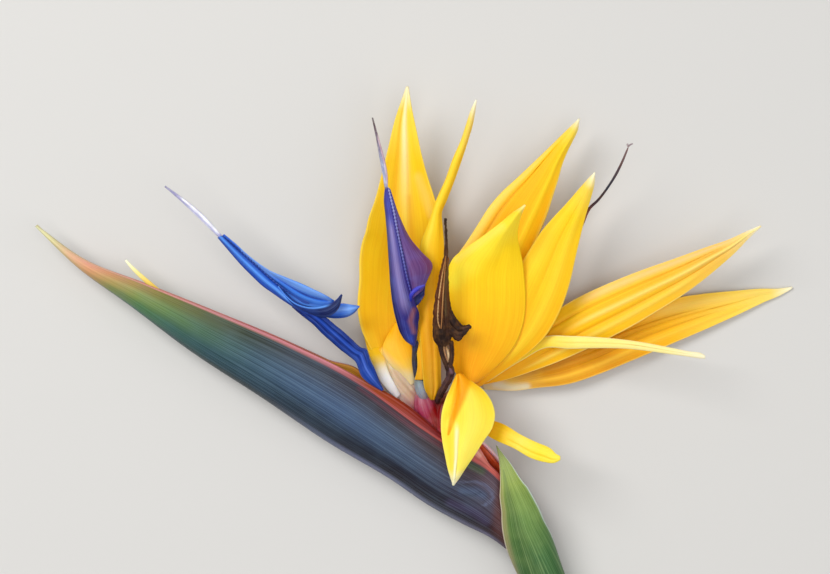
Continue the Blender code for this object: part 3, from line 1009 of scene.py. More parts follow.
# A short pointed sepal in front of it.
SEPAL_1B = [Panel(
    left=((-31.5, 51.5, 10.5), (-34, 55.3, 10.5), (-37.8, 59.1, 10), (-39.6, 63, 9), (-38.4, 66.8, 8.2),
        (-36.2, 70.3, 7.2), (-34.5, 72.5, 6.2)),
    right=((-28.6, 52.5, 10.8), (-28.8, 56.6, 11), (-29.3, 61.1, 10.8), (-30.6, 64.9, 10.2), (-32, 68.1, 9),
        (-33.4, 70.6, 7.4), (-34.3, 72.5, 6.2)),
    tint={0: "#D8CCC0", 12: "#DCC8A4", 26: "#EABA40", 40: "#FAB004", 80: "#FDB604", 100: "#FFC408"},
    strokes=(Stroke("#FAC83C", ((-39.5, 66, 4), (-35, 61, 5), (-30.5, 57, 4)), 0.5),
        Stroke("#DCC48E", ((-41, 61.5, 3.4), (-36.6, 56.6, 4.4), (-31.5, 52.6, 4)), 1),
        Stroke("#B0A860", ((-28.9, 58, 1.2), (-28.9, 53, 1.6)), 0.6)),
    rim=("#FFC41C", 0.1, 0.3), bulge=0.7, steps=(70, 30),
)]
# A long narrow sepal rolled into a channel, with a flap beside its foot.
SEPAL_1C = [Panel(
    left=((-24.2, 47.4, 17.2), (-26, 50.9, 17.3), (-26.6, 55.2, 17.2), (-27.2, 63.2, 17), (-28, 71.1, 16.6),
        (-28.2, 79.1, 16), (-28, 85.4, 15.6), (-27.8, 91.2, 15.3), (-27.2, 97.2, 15.3), (-24.9, 103.3, 15.6),
        (-23.7, 106.8, 16), (-22.3, 110.9, 17), (-19.5, 117.1, 19), (-17.3, 123.3, 21.5), (-14.6, 129.5, 24),
        (-13.1, 134, 26.5), (-11.6, 138.5, 29), (-10.2, 141.6, 30.2)),
    right=((-23, 47.4, 17.2), (-21, 50.9, 17.3), (-20.9, 55.2, 17.2), (-21, 63.2, 17), (-21, 71.1, 16.6),
        (-20.8, 79.1, 16), (-20.5, 85.4, 15.6), (-20, 91.2, 15.3), (-19.9, 97.2, 15.3), (-20.4, 103.3, 15.6),
        (-20.6, 106.8, 16), (-19, 110.9, 17), (-16.6, 117.1, 19), (-14.4, 123.3, 21.5), (-12.4, 129.5, 24),
        (-11.1, 134, 26.5), (-10.3, 138.5, 29), (-9.9, 141.6, 30.2)),
    tint={0: "#C08A0A", 6: "#C88E0A", 16: "#E29A04", 30: "#F4AC04", 45: "#FFC606", 60: "#FFD21A",
        80: "#FFD22C", 93: "#FFDE70", 100: "#FFF8DC"},
    # The pale line on the raised left half is a painted highlight, and the darker oranges along the right
    # half are painted shade.
    lines=(Line((-0.2, -0.3), (-0.2, 0.36), 0.3, -0.3, "#D08604", 0.5),
        Line((-0.5, -0.45), (-0.2, 0.4), 0.2, 0.3, "#F8B40C", 0.5),
        Line((0.5, 0.45), (0.42, 1), 0.3, 0.2, "#FFE448", 0.7),
        Line((-0.7, -0.6), (0.45, 1), 0.2, -0.2, "#F4B414", 0.6)),
    rim=("#FFDC48", 0.2, 0.6), bulge=1.4, steps=(220, 30),
), Panel(
    name="flap",
    left=((-29.2, 53.6, 15.3), (-28.4, 56.8, 15.7), (-28.5, 63.1, 15.8), (-28.4, 71.1, 15.6),
        (-27.9, 79.1, 15.2)),
    right=((-25.6, 53.8, 16.2), (-25.3, 56.8, 16.4), (-24.7, 63.2, 16), (-24.3, 71.1, 15.7),
        (-24.3, 79.1, 15.3)),
    tint={0: "#D8940A", 20: "#E8A206", 60: "#FAB806", 100: "#FDC008"}, rim=("#FFD848", 0.2, 0.6), bulge=0.5,
    steps=(60, 20),
)]
# The fleshy foot, red inside the spathe and pale above it.
FLORET_1_BASE = [Tube(
    rows=((-20.5, 34, 8, 2), (-22.7, 37.1, 8, 3), (-25.9, 41.6, 8.4, 4.4), (-29.4, 45.4, 8.8, 5.4),
        (-32.6, 48.8, 9, 5.9), (-35.3, 52, 8.8, 5.8), (-37.3, 55.6, 8.2, 4.8), (-38.6, 59.6, 7.4, 3.4),
        (-39.4, 64, 6.6, 1.4)),
    tint={0: "#7A0A0A", 20: "#A02028", 34: "#B84860", 44: "#C08C88", 54: "#C8B2A0", 66: "#D4C2AC",
        78: "#DCC8A0", 87: "#E8CC80", 93: "#F8C848", 100: "#FFC61C"},
    strokes=(Stroke("#FAFAFA", ((-41, 56.5, 2), (-38.6, 52, 2.4), (-35.6, 47.8, 2.2)), 0.9),
        Stroke("#C6A684", ((-36, 56, 1.8), (-33.4, 52, 2.8), (-30.6, 48.4, 2.6)), 0.85),
        Stroke("#E0CCA8", ((-31.4, 52.8, 1.2), (-30, 50.6, 1.2)), 0.6),
        Stroke("#B88A7C", ((-29.6, 49.6, 1.4), (-27, 45.6, 1.8)), 0.6)),
    flat=0.55, ribs=(0.03, 22), steps=(120, 96), crumple=0.25,
)]
# The small inner petal beside it.
NECTARY_1 = [Tube(
    rows=((-25.6, 47, 13.8, 0.9), (-26.3, 48.8, 14.5, 1.8), (-27, 50.8, 14.8, 2.1), (-27.8, 53, 14.2, 1.7),
        (-28.6, 55, 13.2, 0.7)),
    tint={0: "#94848C", 40: "#8E98A4", 70: "#7C8A8A", 90: "#7A7868", 100: "#6A4C28"}, steps=(40, 28),
)]
# The fresh arrow petal: two wings on a beaded seam, two barbs, the throat between them and the shaft.
ARROW_1 = [Panel(
    name="upper_wing",
    left=((-89.4, 99.9, 22.5), (-85.9, 97.1, 22.3), (-82.5, 93.9, 22), (-78.7, 90.9, 21.8),
        (-74.9, 88.4, 21.5), (-70.2, 86.4, 21), (-65.5, 84.5, 20.5), (-60.8, 82.3, 20), (-57.6, 80.7, 19.6),
        (-54.8, 78.9, 19.2)),
    right=((-90, 99.3, 22.6), (-86.2, 96.1, 22.4), (-82.4, 92.7, 22), (-78.7, 89.2, 21.4),
        (-74.9, 85.7, 20.6), (-71.2, 82.4, 19.8), (-67.7, 79.4, 19.2), (-64, 77.4, 18.6),
        (-59.5, 76.8, 18.4), (-54.8, 78, 18.6)),
    tint={0: "#1E5CC8", 30: "#2A6EDC", 55: "#3A80E4", 80: "#3E86E0", 100: "#2C64C8"},
    # The pale blue along the raised outer band is a painted highlight, and the darker blues in the two
    # grooves are painted shade.
    lines=(Line((0.8, 0.75), (0, 1), 0.25, 0.3, "#74A8F4", 0.6),
        Line((0.1, 0.1), (0.45, 1), 0.2, -0.9, "#1E58C8", 0.5),
        Line((-0.7, -0.6), (0.1, 0.9), 0.3, -0.3, "#0E3490", 0.8)),
    # This pale blue stroke along the outer band is a painted highlight.
    strokes=(
        Stroke("#84B2F4",
            ((-84, 94.6, 0.8), (-76, 88.4, 1.6), (-68, 84, 1.8), (-60, 81, 1.6), (-56, 79, 0.8)), 0.85),),
    bulge=-0.6, wall=0.5, steps=(150, 40),
), Panel(
    name="lower_wing",
    left=((-89.8, 99.4, 22.8), (-86.2, 96.1, 22.8), (-82.4, 92.7, 22.7), (-78.6, 89.4, 22.5),
        (-74.9, 86, 22.2), (-71.7, 83.2, 21.8), (-69.3, 80.4, 21.2), (-66.8, 78.1, 20.6),
        (-64.6, 76.9, 20.2), (-62.7, 75.9, 20)),
    right=((-91.4, 98.8, 22.5), (-88.1, 94.9, 22.2), (-84.4, 90.6, 21.8), (-80.6, 86.7, 21.4),
        (-77.2, 83.5, 21), (-73.7, 81, 20.6), (-70.6, 78.8, 20.2), (-67.7, 76.9, 19.8), (-65.2, 75.3, 19.4),
        (-63, 74, 19)),
    tint={0: "#1C4CB4", 25: "#1E54C4", 60: "#2058CC", 85: "#1844A8", 100: "#123488"},
    # The pale blue along the middle ridge is a painted highlight, and the darker blues in the grooves by the
    # edges are painted shade.
    lines=(Line((0.05, 0.1), (-0.1, 0.95), 0.32, 0.5, "#5A9CF4", 0.85),
        Line((0.85, 0.85), (0, 1), 0.15, -0.3, "#0E3088", 0.7),
        Line((-0.9, -0.9), (0, 1), 0.2, -0.1, "#1540A0", 0.7)),
    bulge=1, wall=0.5, steps=(150, 40),
), Panel(
    name="near_barb",
    left=((-72.3, 83.5, 22.3), (-69.8, 80.4, 22.2), (-66.7, 78, 22), (-63.2, 76.9, 21.8), (-59.4, 77, 21.6),
        (-56.3, 77.8, 21.4), (-54.1, 79.1, 21.2), (-52.4, 81, 21)),
    right=((-72.1, 82.6, 21.6), (-69.6, 79.4, 21), (-66.5, 76.7, 20.4), (-63, 75, 20), (-59.8, 73.7, 19.8),
        (-56.3, 74, 19.8), (-53.5, 76.2, 20.2), (-52.1, 80.6, 20.8)),
    tint={0: "#1C50C0", 35: "#12307E", 60: "#0E1E58", 100: "#101A4A"},
    # The pale blue along the barb's raised top edge is a painted highlight.
    lines=(Line((0.9, 0.9), (-0.1, 0.85), 0.2, 0.2, "#5A9AF0", 0.95),
        Line((0.9, 0.9), (0.7, 1.1), 0.2, 0.2, "#1E2C70", 0.8)),
    bulge=0.5, wall=0.5, steps=(100, 30),
), Panel(
    name="far_barb",
    left=((-57.5, 77.3, 18.5), (-53.9, 77.8, 18.3), (-52, 78, 18), (-49.4, 77.6, 17.6), (-46.8, 77.2, 17.2)),
    right=((-58.8, 73.9, 17.5), (-55.2, 73.3, 17.2), (-53, 73.3, 17), (-50.7, 73.7, 17), (-48.5, 74.9, 17),
        (-46.8, 76.9, 17.1)),
    tint={0: "#14389A", 45: "#2A66D0", 70: "#6A9EEC", 100: "#2A5CC0"},
    lines=(Line((0.2, 0.2), (0.2, 1), 0.35, 0.3, "#86B4F4", 0.6),
        Line((-0.8, -0.8), (0, 1), 0.25, 0, "#123080", 0.8)),
    bulge=0.4, wall=0.5, steps=(60, 24),
), Panel(
    name="shaft",
    left=((-66.2, 77.8, 19), (-61.8, 76.2, 19), (-57.3, 73.5, 18.6), (-54.5, 71.1, 18.2), (-52, 69.1, 17.8),
        (-49.1, 66.4, 17.2), (-46.1, 63.8, 16.4), (-44.7, 63.4, 15.8), (-44.1, 61.9, 16.4),
        (-43.2, 59.4, 17), (-41.9, 57, 17.6), (-40.9, 54.4, 18.2), (-39.2, 50.6, 18.6)),
    right=((-68.1, 76.9, 18.6), (-64.7, 74, 18.2), (-61.5, 71.5, 18), (-58.7, 68.6, 17.6), (-55.8, 66, 17.2),
        (-53, 63.5, 16.6), (-50, 61.2, 16.2), (-47.9, 59.3, 16.2), (-47.1, 57.4, 16.4), (-46, 54.8, 17.2),
        (-44.1, 53, 18), (-41.9, 51.6, 18.4), (-39.6, 50.3, 18.6)),
    tint={0: "#0A2470", 20: "#0C2A7C", 60: "#0E3088", 85: "#16409C", 100: "#16388A"},
    lines=(Line((0.45, 0.5), (0.05, 0.8), 0.09, -0.6, "#061448", 0.9),
        Line((-0.35, -0.3), (0.05, 0.75), 0.09, -0.6, "#061448", 0.9),
        Line((0.05, 0.1), (0.1, 0.9), 0.14, 0.3, "#1C4CB4", 0.8),
        Line((-0.75, -0.7), (0.05, 0.9), 0.14, 0.2, "#1A4298", 0.7)),
    bulge=1.3, wall=0.7, steps=(150, 40),
), Panel(
    name="throat", left=((-79, 90, 19.8), (-70.5, 85, 19.2), (-62, 81.3, 18.2), (-55.5, 78.5, 17.6)),
    right=((-78.5, 86, 19.8), (-71, 80.5, 19.2), (-64, 75.6, 18.2), (-57.5, 74, 17.6)),
    tint={0: "#2458B8", 50: "#1A48A0", 100: "#143684"}, steps=(60, 20),
), Tube(
    name="seam",
    rows=((-90, 99.4, 23, 0.3), (-86.2, 96.1, 23, 0.32), (-82.4, 92.7, 22.9, 0.34),
        (-78.6, 89.3, 22.7, 0.34), (-74.9, 86, 22.3, 0.32), (-71.1, 82.9, 21.7, 0.3), (-68, 80.7, 21, 0.2)),
    tint={0: "#16388C", 100: "#14348A"}, beads=(0.45, 24), steps=(240, 10),
)]
# The stigma past the arrow's point.
STIGMA_1 = [Panel(
    left=((-90.9, 98.8, 22.5), (-93.5, 101.3, 22.6), (-96.7, 104.4, 23), (-100.7, 108.3, 23.5),
        (-104.4, 111.7, 24), (-107.9, 114.8, 24.5)),
    right=((-90.1, 99.5, 22.7), (-92.5, 102.3, 22.9), (-95.5, 105.6, 23.2), (-99.7, 109.3, 23.6),
        (-103.8, 112.3, 24), (-107.7, 115, 24.5)),
    tint={0: "#A8A4CC", 12: "#D8D8EE", 50: "#D2D2EA", 80: "#A8A4C8", 100: "#7E78A0"},
    lines=(Line((0.45, 0.4), (0, 0.85), 0.2, -0.4, "#7C78A0", 0.85),
        # The white line along the raised side is a painted highlight.
        Line((-0.5, -0.4), (0, 0.8), 0.25, 0.3, "#FFFFFF", 0.8)),
    bulge=0.7, wall=0.7, steps=(90, 24),
)]

# Floret 2. A broad sepal at the back.
SEPAL_2A = [Panel(
    left=((-11.4, 50.7, 8.5), (-14, 63, 9), (-16.3, 75.8, 10), (-17.9, 83.8, 10.5), (-18.2, 89.3, 11),
        (-16, 92.8, 11.5), (-12.8, 97.3, 12), (-9.3, 102.7, 12.5), (-5.2, 109.1, 13), (-1.3, 113.6, 13),
        (3.5, 118, 13), (8.6, 122.8, 13), (14, 128, 12.8), (19.2, 133.1, 12.4), (23.4, 137.1, 12)),
    right=((-9.5, 50.7, 8.5), (-5, 59.7, 9), (-0.9, 67.8, 10), (2.9, 77.4, 10.5), (6.1, 87, 11),
        (8.7, 95, 11.5), (10.9, 100.8, 12), (13.1, 106.2, 12.5), (15, 112.3, 13), (16.6, 117.4, 13),
        (17.9, 122.2, 13), (19.5, 126.3, 13), (21.4, 130.2, 12.8), (22.9, 133.4, 12.4), (23.5, 137, 12)),
    tint={0: "#F4A806", 40: "#FFBC04", 70: "#FFBE06", 88: "#FFCA10", 95: "#FFDC54", 100: "#FFF8DC"},
    # The paler lines on the raised ridges are painted highlights, and the darker oranges in the grooves are
    # painted shade.
    lines=(Line((0.66, 0.45), (0.42, 0.97), 0.05, -0.5, "#D08A10", 0.7),
        Line((0.88, 0.8), (0.4, 0.97), 0.14, 0.4, "#FFE06C", 0.7),
        Line((0.25, 0.2), (0.3, 0.95), 0.25, -0.2, "#F9AE0A", 0.5),
        Line((-0.55, -0.45), (0.4, 1), 0.12, 0.3, "#FFDA1E", 0.7)),
    rim=("#FFE468", 0.14, 0.8), bulge=1.6, steps=(150, 44),
)]
# A broad sepal in front.
SEPAL_2B = [Panel(
    left=((-14.2, 52.4, 15.5), (-16.6, 56.8, 16.2), (-17.9, 63.2, 18), (-18.2, 71.2, 20),
        (-18.5, 79.1, 21.5), (-18.7, 85.4, 22.5), (-18.4, 89.8, 23.5), (-17, 92.4, 24), (-14, 94.9, 25),
        (-8.7, 98.6, 26), (-2.5, 103.2, 28), (2.1, 106.9, 29.2), (5.2, 108.8, 29.6)),
    right=((-9.1, 52.9, 15.5), (-5.3, 56.1, 15.6), (-0.5, 60.6, 15.8), (3.2, 65.8, 16.3), (5.4, 72.1, 17),
        (6, 79.1, 18), (5.6, 85.4, 19), (4.9, 91.1, 20.2), (3.9, 95.5, 21.8), (3.2, 99.2, 24.2),
        (3.5, 103, 27), (4.4, 106.4, 28.4), (5.4, 108.8, 29.6)),
    tint={0: "#F8A404", 15: "#FFB002", 35: "#FFBE02", 55: "#FFCE00", 75: "#FFD404", 95: "#FFDA30",
        100: "#FFF0A0"},
    lines=(Line((0.35, 0.1), (0.3, 1), 0.25, 0.3), Line((-0.3, -0.2), (0.1, 0.8), 0.2, -0.3)),
    strokes=(Stroke("#FFE234", ((-17, 86, 6), (-10, 94.5, 8), (1, 103.5, 6)), 0.9),
        Stroke("#FFE668", ((-16, 92, 2), (-2, 102, 2.4)), 0.5),
        Stroke("#FCA800", ((-15.5, 68, 6), (-11.5, 57, 7)), 0.8)),
    rim=("#FFDC28", 0.06, 0.5), bulge=2, steps=(140, 56),
)]
# A broad sepal between them.
SEPAL_2C = [Panel(
    left=((-11.5, 51.5, 12.5), (-9, 56.7, 13), (-6.1, 63.1, 14), (-3.6, 70.1, 15), (-1.1, 78.1, 16),
        (1.7, 85.1, 17), (4.9, 91.1, 17.5), (8, 96.2, 18), (10.8, 100.6, 18.5), (14.6, 105.1, 19.5),
        (18.6, 109.4, 21), (22.9, 114.4, 23), (25.9, 117.8, 25), (27.3, 119.2, 25.5)),
    right=((-9, 50.9, 12.5), (-3.9, 54.4, 12.8), (1.9, 58.3, 13), (7.6, 62.6, 13.6), (12.3, 67.3, 14.4),
        (15.7, 72.7, 15.2), (18.2, 78.4, 16), (20.1, 84.5, 16.8), (21.7, 91.8, 17.6), (23.2, 98.7, 18.8),
        (24.9, 106, 20.8), (26.4, 111.6, 22.8), (27.3, 115.9, 24.8), (27.4, 119.2, 25.5)),
    tint={0: "#F8A800", 30: "#FDB600", 50: "#FFC300", 80: "#FFCC0C", 93: "#FFDA50", 100: "#FFF8DC"},
    # The darker line in the central crease is painted shade, and the paler lines on the raised ridges are
    # painted highlights.
    lines=(Line((0, 0.05), (0.3, 1), 0.08, -0.25, "#F2B408", 0.3, 0.25),
        Line((-0.45, -0.35), (0.1, 0.9), 0.22, 0.4, "#FFDE34", 0.5),
        Line((0.5, 0.5), (0.45, 0.95), 0.25, 0.2, "#FFDC30", 0.5)),
    rim=("#FFE260", 0.08, 0.6), bulge=1.2, steps=(150, 44),
)]
# The foot.
FLORET_2_BASE = [Tube(
    rows=((-15, 23, 12, 1.9), (-18.5, 28.5, 12, 3), (-21.8, 35, 12.4, 4), (-24.2, 41, 12.8, 4.3),
        (-26, 46, 13, 3.6), (-27, 50, 12.6, 2)),
    tint={0: "#5A0806", 30: "#860C08", 48: "#960E14", 62: "#981A34", 78: "#A02C50", 90: "#A44862",
        100: "#A87880"},
    strokes=(Stroke("#8E0A08", ((-21.2, 47, 2), (-23, 43, 2.6), (-21.5, 38, 3)), 0.95, 0.8),), flat=0.85,
    ribs=(0.03, 10), steps=(90, 48),
)]
# The older, purple arrow petal: body, wing, dark inside with its fold, beaded seam and shaft.
ARROW_2 = [Panel(
    name="body",
    left=((-29.8, 64.6, 16.5), (-31.7, 65.7, 17.5), (-33.6, 68.3, 18.5), (-35.1, 72.8, 20),
        (-36.1, 77.5, 21), (-36.7, 82.3, 22), (-37.3, 91.1, 23), (-37.9, 100.5, 24), (-38.4, 106.1, 25),
        (-38.8, 110.5, 25.5), (-38.5, 114.3, 26.5)),
    right=((-29, 64.8, 16.5), (-28.6, 67, 17.5), (-28.2, 71.2, 18.8), (-27.9, 75, 20.3), (-28.8, 77.5, 21.5),
        (-29.6, 80, 22.5), (-31, 84.1, 24), (-32.9, 92.3, 25), (-34.5, 100.2, 25.8), (-36, 108, 26.2),
        (-37.4, 114.3, 26.6)),
    tint={0: "#26307C", 12: "#2C2A78", 30: "#3A2F7C", 50: "#4A3C8C", 75: "#463E96", 100: "#3A3690"},
    lines=(Line((0.95, 0.95), (-0.1, 1), 0.28, -0.3, "#191640", 0.9),
        Line((0, 0.1), (0.2, 0.85), 0.4, 0.5, "#9080B4", 0.85),
        Line((-0.85, -0.9), (0.3, 1), 0.16, -0.2, "#2A267E", 0.8)),
    strokes=(Stroke("#A05C58", ((-29.6, 76, 1.4), (-30.6, 72.5, 1.5), (-29.6, 69, 1.3)), 0.75),
        Stroke("#2A3A9C", ((-30.5, 67, 1.6), (-29.4, 65, 1.4)), 0.8)),
    bulge=1.1, wall=0.6, steps=(150, 40),
), Panel(
    name="wing",
    left=((-30.1, 79.4, 22.5), (-30.5, 81.9, 23), (-31.6, 86, 24), (-32.9, 92.3, 25), (-34.5, 100.2, 25.8),
        (-36, 108, 26.2), (-37.4, 114.3, 26.6)),
    right=((-26.6, 82.3, 22.5), (-25.3, 85.4, 22.3), (-23.6, 90.1, 22.2), (-27.2, 94.4, 23),
        (-30.4, 98.2, 23.6), (-33.8, 104.9, 24.8), (-37, 113.9, 26.5)),
    tint={0: "#5A3A78", 30: "#6E4078", 55: "#6A4A88", 80: "#564694", 100: "#3A3690"},
    lines=(Line((-0.75, -0.7), (0.1, 0.9), 0.35, -0.3, "#7E3C58", 0.7),
        Line((-1, -1), (0.1, 1), 0.1, 0, "#96585C", 0.7),
        Line((0.9, 0.9), (0, 1), 0.16, -0.2, "#2A267E", 0.8)),
    bulge=0.5, wall=0.6, steps=(110, 36),
), Panel(
    name="inside", left=((-30.1, 81.3, 22), (-28.2, 82.4, 22), (-26, 83.5, 21.5)),
    right=((-29.8, 76.6, 21.3), (-28.2, 77.6, 21), (-26.2, 80.6, 21)),
    tint={0: "#141A58", 50: "#1A2068", 100: "#241E60"}, bulge=-0.6, steps=(40, 24),
), Tube(
    name="fold",
    rows=((-30.6, 78.4, 22.3, 0.5), (-30.2, 81, 23.2, 0.7), (-28.5, 82.6, 23.2, 0.75),
        (-25.9, 83.9, 22.4, 0.45)),
    tint={0: "#1E2A90", 40: "#3C3AC0", 100: "#5A48C0"}, steps=(50, 16),
), Tube(
    name="seam",
    rows=((-30.1, 80.4, 23.4, 0.2), (-31.6, 86, 24.7, 0.26), (-32.9, 92.3, 25.6, 0.28),
        (-34.5, 100.1, 26.3, 0.3), (-36, 108, 26.7, 0.3), (-37.6, 114.5, 26.9, 0.28)),
    tint={0: "#4A48A0", 30: "#6664AC", 70: "#8A88C0", 100: "#A4A2CC"}, beads=(0.4, 32), steps=(320, 10),
), Tube(
    name="shaft",
    rows=((-29, 66.3, 16.5, 1.1), (-29.1, 63.1, 15.5, 0.95), (-29.3, 59.3, 14.5, 0.85), (-29, 56, 13, 0.75),
        (-28.8, 53.7, 11.5, 0.6)),
    tint={0: "#22224C", 30: "#3A3430", 70: "#3E3628", 100: "#4A4030"}, steps=(60, 16),
)]
# The stigma past its point.
STIGMA_2 = [Panel(
    left=((-38.5, 113.8, 26.7), (-39.3, 118.9, 27.8), (-40.2, 123.9, 28.8), (-41.1, 129.1, 30.4),
        (-42.5, 135.9, 32.5)),
    right=((-37.7, 113.8, 26.7), (-37.8, 118.3, 27.8), (-38.6, 122.9, 28.8), (-40, 128.1, 30.4),
        (-42.2, 135.9, 32.5)),
    tint={0: "#5A4060", 10: "#B0B4D0", 35: "#9CA2C0", 60: "#84788E", 85: "#5A3A40", 100: "#3E262A"},
    lines=(Line((-0.7, -0.6), (0, 0.8), 0.25, 0.2, "#E0B0B8", 0.7),
        Line((0.1, 0), (0.1, 0.9), 0.15, -0.3, "#4A4464", 0.7)),
    bulge=0.6, wall=0.6, steps=(90, 24),
)]

# Floret 3. A long sepal that reaches away from the beak.
SEPAL_3A = [sepal(
    ((-9, 52.5, 6.5, 1.2, 1.2), (0, 56.5, 7, 3.2, 3.2), (11, 63.5, 8, 6.4, 6.4), (24, 71, 9, 8, 8),
        (37, 77.5, 10, 7.8, 7.8), (46, 82, 11, 7, 7), (55, 86.5, 12.5, 5.8, 5.8), (65.5, 92.5, 15, 3.8, 3.8),
        (72, 96.5, 17, 2.2, 2.2), (76, 99.5, 18.2, 1.2, 1.2), (80.5, 102.5, 19.5, 0.3, 0.3)),
    fold=(-10, -10), curl=(-5, -5),
    tint={0: "#F0A408", 15: "#FBB404", 40: "#FFC60C", 65: "#FAC028", 85: "#F2C254", 94: "#F4D688",
        100: "#FFF8E4"},
    rim=("#FFE488", 0.08, 0.7),
    # The paler lines on the midrib and the other raised ridges are painted highlights, and the darker
    # oranges in the grooves are painted shade.
    lines=(Line((0.08, 0), (0.3, 1.1), 0.09, 0.5, "#FFE27C", 0.65),
        Line((0.82, 0.75), (0.35, 0.95), 0.16, 0.2, "#F4CE90", 0.65),
        Line((0.5, 0.4), (0.15, 0.9), 0.07, -0.4, "#E8A018", 0.6),
        Line((0.28, 0.25), (0.3, 0.95), 0.05, -0.2, "#F0AE20", 0.5),
        Line((-0.3, -0.25), (0.15, 0.95), 0.07, -0.4, "#E8A214", 0.6),
        Line((-0.62, -0.5), (0.1, 0.8), 0.1, 0.3, "#FFDE60", 0.6)),
    steps=(150, 60),
)]
# A longer one below it.
SEPAL_3B = [sepal(
    ((-7.5, 51, 4, 1.2, 1), (0.5, 54, 4, 3.8, 4.6), (9, 56, 4, 5.8, 5.6), (18.5, 58.5, 3.8, 7.2, 7),
        (28, 62, 3.5, 7.8, 7.4), (38, 66.5, 3.1, 7.8, 7.8), (51.5, 71.5, 2.6, 7.2, 7.2),
        (65, 75.5, 2, 5.6, 5.6), (74.5, 78, 1.5, 4, 4), (83.5, 80.5, 1, 2.2, 2.4), (89, 81.5, 0.7, 1.2, 1.2),
        (93.5, 83, 0.6, 0.3, 0.3)),
    curl=(8, 8),
    tint={0: "#D8C8A0", 8: "#D8A848", 20: "#CC8804", 40: "#E69A02", 60: "#FCB810", 80: "#FFD24C",
        93: "#FADC6C", 100: "#FFF8DC"},
    rim=("#FFE070", 0.07, 0.6),
    # The paler lines on the raised ridges are painted highlights, and the darker oranges in the grooves are
    # painted shade.
    lines=(Line((0.6, 0.45), (0.5, 1), 0.3, 0.3, "#FFD868", 0.6),
        Line((0.3, 0.2), (0.15, 0.75), 0.05, -0.3, "#C88408", 0.7),
        Line((0.05, 0), (0.25, 0.95), 0.06, -0.3, "#E09A10", 0.6),
        Line((-0.3, -0.25), (0.1, 0.8), 0.06, -0.3, "#CC8A0C", 0.6),
        Line((-0.65, -0.5), (0.1, 0.9), 0.12, 0.3, "#FFC83C", 0.6)),
    strokes=(Stroke("#D6CFB4", ((-3, 51.5, 2.2), (2, 50.5, 2.6), (7, 51, 2)), 0.9),), steps=(150, 60),
)]
# A narrow pale sepal over both.
SEPAL_3C = [sepal(
    ((-6.5, 53.5, 10.5, 1, 1), (4.5, 61, 11, 1.4, 1.4), (12.5, 65.5, 12, 1.8, 1.8), (20.5, 65.5, 13.5, 2, 2),
        (26.5, 65.5, 15, 1.8, 1.8), (39, 65, 17.5, 1.2, 1.4), (51.5, 63, 20, 1, 1),
        (57.5, 62, 21.5, 0.8, 0.8), (61, 61.5, 22, 0.8, 0.8), (62.5, 61, 22.5, 0.4, 0.4)),
    curl=(-30, -30), tint={0: "#FFC810", 28: "#FFD830", 45: "#FFEC80", 80: "#FFEE9C", 100: "#F4ECD0"},
    # The darker yellow in its groove is painted shade.
    rim=("#FFF4B8", 0.3, 0.6), lines=(Line((-0.1, 0), (0.3, 1), 0.12, -0.2, "#E8C450", 0.6),),
    steps=(120, 20),
)]
# The foot, dark red where it passes over the one before.
FLORET_3_BASE = [Tube(
    rows=((-11, 18.5, 8, 1.7), (-14.5, 25, 10, 2.8), (-18.6, 32, 13.2, 2.6), (-20.1, 38.6, 15.2, 2.2),
        (-19, 44.6, 13.2, 3.3), (-12, 50.5, 9, 2.4), (-8.5, 53, 8, 1.6)),
    tint={0: "#8A0C10", 35: "#D83C68", 46: "#E05078", 53: "#98141A", 66: "#7A0C08", 80: "#D8A090",
        100: "#D8C8A0"},
    ribs=(0.03, 10), steps=(90, 48),
)]
